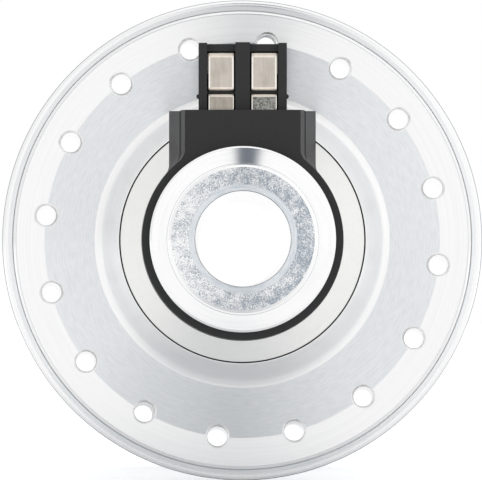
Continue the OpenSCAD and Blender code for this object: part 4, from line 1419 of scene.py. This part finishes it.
        # The ends of the bends get the painted highlight too
        ends = (
            self.strip_top - self.strip_bend, self.strip_end + self.tab_bend,
            self.tab_top - self.tab_bend,
        )
        if min(abs(centre.z - z) for z in ends) < self.painted_highlight_band:
            return NICKEL_EDGE_HIGHLIGHT
        # The border beside the strip's edges gets a painted highlight
        if aside > self.border_from:
            return NICKEL_BORDER_HIGHLIGHT
        if centre.z > self.tab_top:
            return NICKEL
        # The front tab is scraped; the rear tab gets painted shade
        return NICKEL_WORN if side is Side.FRONT else NICKEL_SHADED

    def build(self) -> None:
        """Builds the housing, the terminal block and both contact strips."""
        self.housing()
        self.terminal_block()
        for side in Side:
            self.contact(side)


@dataclass
class Inside(Assembly):
    """The bearings and the generator, whose CAD shapes stay as they are."""

    nodes: dict[str, Object]

    def build(self) -> None:
        """Gives each CAD node inside the hub its finish."""
        finishes = dict(INSIDE)
        for part, finish in BEARING_PARTS.items():
            for side in ("right", "left"):
                finishes[f"{side}_bearing_{part}"] = finish
        for name, finish in finishes.items():
            data = self.nodes[name].data
            data.materials.clear()
            data.materials.append(finish.material())
            log.info("%s: CAD shape with %s", name, finish.name)


# Studio

@dataclass(frozen=True)
class Ramp:
    """A smooth change from one level to another between two places."""

    start: float
    end: float
    at_start: float = 0.0
    at_end: float = 1.0

    def inputs(self, place: Source, unit: float = 1.0) -> Inputs:
        """Gives the inputs that make a node follow the ramp, with its places in a unit."""
        return {
            "Value": place, "From Min": self.start * unit, "From Max": self.end * unit,
            "To Min": self.at_start, "To Max": self.at_end,
        }


@dataclass
class Studio:
    """The camera, the white floor and the soft light, in mm and radians."""

    camera_at: tuple[float, float, float] = (-3.332, -797.0, -6.03)
    aim_at: tuple[float, float, float] = (-0.162, -27.0, 0.03)
    lens: float = 437.5
    sensor: float = 36.0
    sight: float = 100.0
    floor_half: float = 3000.0
    paper: str = "#F2F2F2"
    paper_glow: float = 0.16
    seen_glow: float = 0.45
    # A grey card on the floor before the hub, and a lit strip under it: only the metal shows them
    card: str = "#D0D2D4"
    card_x: float = -8.0
    card_y: float = -85.0
    card_side: Ramp = Ramp(5, 36, 1.0, 0.0)
    card_along: Ramp = Ramp(20, 110, 1.0, 0.0)
    strip_along: Ramp = Ramp(10, 20, 0.55, 0.16)
    # A narrow dark gap in the light above the camera, and a wide dimmer part higher up
    gap: str = "#59616D"
    gap_turn: float = 0.08
    gap_width: Ramp = Ramp(0.06, 0.2, 1.0, 0.0)
    gap_height: Ramp = Ramp(0.03, 0.08)
    dim_width: Ramp = Ramp(0.1, 0.8, 0.73, 1.0)
    dim_height: Ramp = Ramp(0.22, 0.4)
    ahead: Ramp = Ramp(-0.3, -0.5)
    left: Ramp = Ramp(-0.05, -0.6, 1.0, 0.88)

    def camera(self) -> None:
        """Places the camera in front of the right end of the axle."""
        data = bpy.data.cameras.new("camera")
        data.lens = self.lens
        data.sensor_width = self.sensor
        data.clip_end = self.sight
        eye = bpy.data.objects.new("camera", data)
        bpy.context.scene.collection.objects.link(eye)
        eye.location = Vector(self.camera_at) * MM
        eye.rotation_mode = "QUATERNION"
        eye.rotation_quaternion = (Vector(self.aim_at) - Vector(self.camera_at)).to_track_quat("-Z", "Y")
        bpy.context.scene.camera = eye

    def floor(self, level: float) -> None:
        """Lays the white floor.

        Args:
            level: the floor's height in metres.
        """
        bpy.ops.object.select_all(action="DESELECT")
        bpy.ops.mesh.primitive_plane_add(size=2 * self.floor_half * MM, location=(0, 0, level))
        ground = bpy.context.object
        ground.name = "floor"
        white = bpy.data.materials.new("paper_white_matt")
        white.use_nodes = True
        graph = Graph(white.node_tree)
        place = graph.add("TexCoord").outputs["Object"]
        parts = graph.add("SeparateXYZ", {0: place}).outputs
        path = graph.add("LightPath").outputs
        shares = []
        for axis, middle, ramp in (
            ("X", self.card_x, self.card_side), ("Y", self.card_y, self.card_along),
            ("Y", 0.0, self.strip_along),
        ):
            off = graph.add("Math", {0: parts[axis], 1: middle * MM}, operation="SUBTRACT")
            away = graph.add("Math", {0: off}, operation="ABSOLUTE")
            shares.append(graph.add("MapRange", ramp.inputs(away, MM), interpolation_type="SMOOTHSTEP"))
        beside, along, strip = shares
        card = graph.add("Math", {0: beside, 1: along}, operation="MULTIPLY")
        dark = graph.add("Math", {0: card, 1: path["Is Glossy Ray"]}, operation="MULTIPLY")
        paper = graph.add(
            "Mix", {0: dark, 6: linear(self.paper), 7: linear(self.card)}, data_type="RGBA"
        )
        plain = graph.add(
            "Mix", {0: path["Is Glossy Ray"], 2: self.paper_glow, 3: strip}, data_type="FLOAT"
        )
        glow = graph.add(
            "Mix", {0: path["Is Camera Ray"], 2: plain, 3: self.seen_glow}, data_type="FLOAT"
        )
        graph.feed(white.node_tree.nodes["Principled BSDF"], {
            "Base Color": paper.outputs[2], "Roughness": 0.9, "Specular IOR Level": 0.0,
            "Emission Color": WHITE, "Emission Strength": glow,
        })
        ground.data.materials.append(white)

    def light(self) -> None:
        """Surrounds the object with soft white light that has one narrow dark gap above the camera."""
        world = bpy.data.worlds.new("studio")
        world.use_nodes = True
        bpy.context.scene.world = world
        world.node_tree.nodes.clear()
        graph = Graph(world.node_tree)
        way = graph.add("TexCoord").outputs["Generated"]
        parts = graph.add("SeparateXYZ", {0: way}).outputs
        turn = graph.add("Math", {0: parts["X"], 1: parts["Z"]}, operation="ARCTAN2")
        aside = graph.add("Math", {0: turn, 1: self.gap_turn}, operation="SUBTRACT")
        off = graph.add("Math", {0: aside}, operation="ABSOLUTE")
        narrow, low, wide, high, ahead, left = (
            graph.add("MapRange", ramp.inputs(place), interpolation_type="SMOOTHSTEP")
            for place, ramp in (
                (off, self.gap_width), (parts["Z"], self.gap_height),
                (off, self.dim_width), (parts["Z"], self.dim_height),
                (parts["Y"], self.ahead), (parts["X"], self.left),
            )
        )
        above = graph.add("Math", {0: narrow, 1: low}, operation="MULTIPLY")
        gap = graph.add("Math", {0: above, 1: ahead}, operation="MULTIPLY")
        front = graph.add("Math", {0: high, 1: ahead}, operation="MULTIPLY")
        level = graph.add("Mix", {0: front, 2: 1.0, 3: wide}, data_type="FLOAT")
        power = graph.add("Math", {0: level, 1: left}, operation="MULTIPLY")
        hue = graph.add("Mix", {0: gap, 6: WHITE, 7: linear(self.gap)}, data_type="RGBA")
        soft = graph.add("Background", {"Color": hue.outputs[2], "Strength": power})
        plain = graph.add("Background", {"Color": WHITE, "Strength": 1.0})
        path = graph.add("LightPath").outputs
        seen = graph.add("MixShader", {0: path["Is Camera Ray"], 1: soft, 2: plain})
        graph.add("OutputWorld", {"Surface": seen}).is_active_output = True

    def build(self) -> None:
        """Sets up the camera, the floor and the light."""
        bpy.context.scene.view_settings.view_transform = "Standard"
        self.camera()
        self.floor(CAD_BOX[0].z)
        self.light()


def main() -> None:
    """Builds the studio and every sub-assembly in order."""
    logging.basicConfig(level=logging.INFO, format="%(message)s")
    Studio().build()
    spokes = SpokeHoles()
    assemblies: list[Assembly] = [
        RightFlange(spokes), HubShell(spokes), AxleGroup(), Connector(), Inside(frame["nodes"]),
    ]
    for assembly in assemblies:
        assembly.build()


if __name__ == "__main__":
    main()
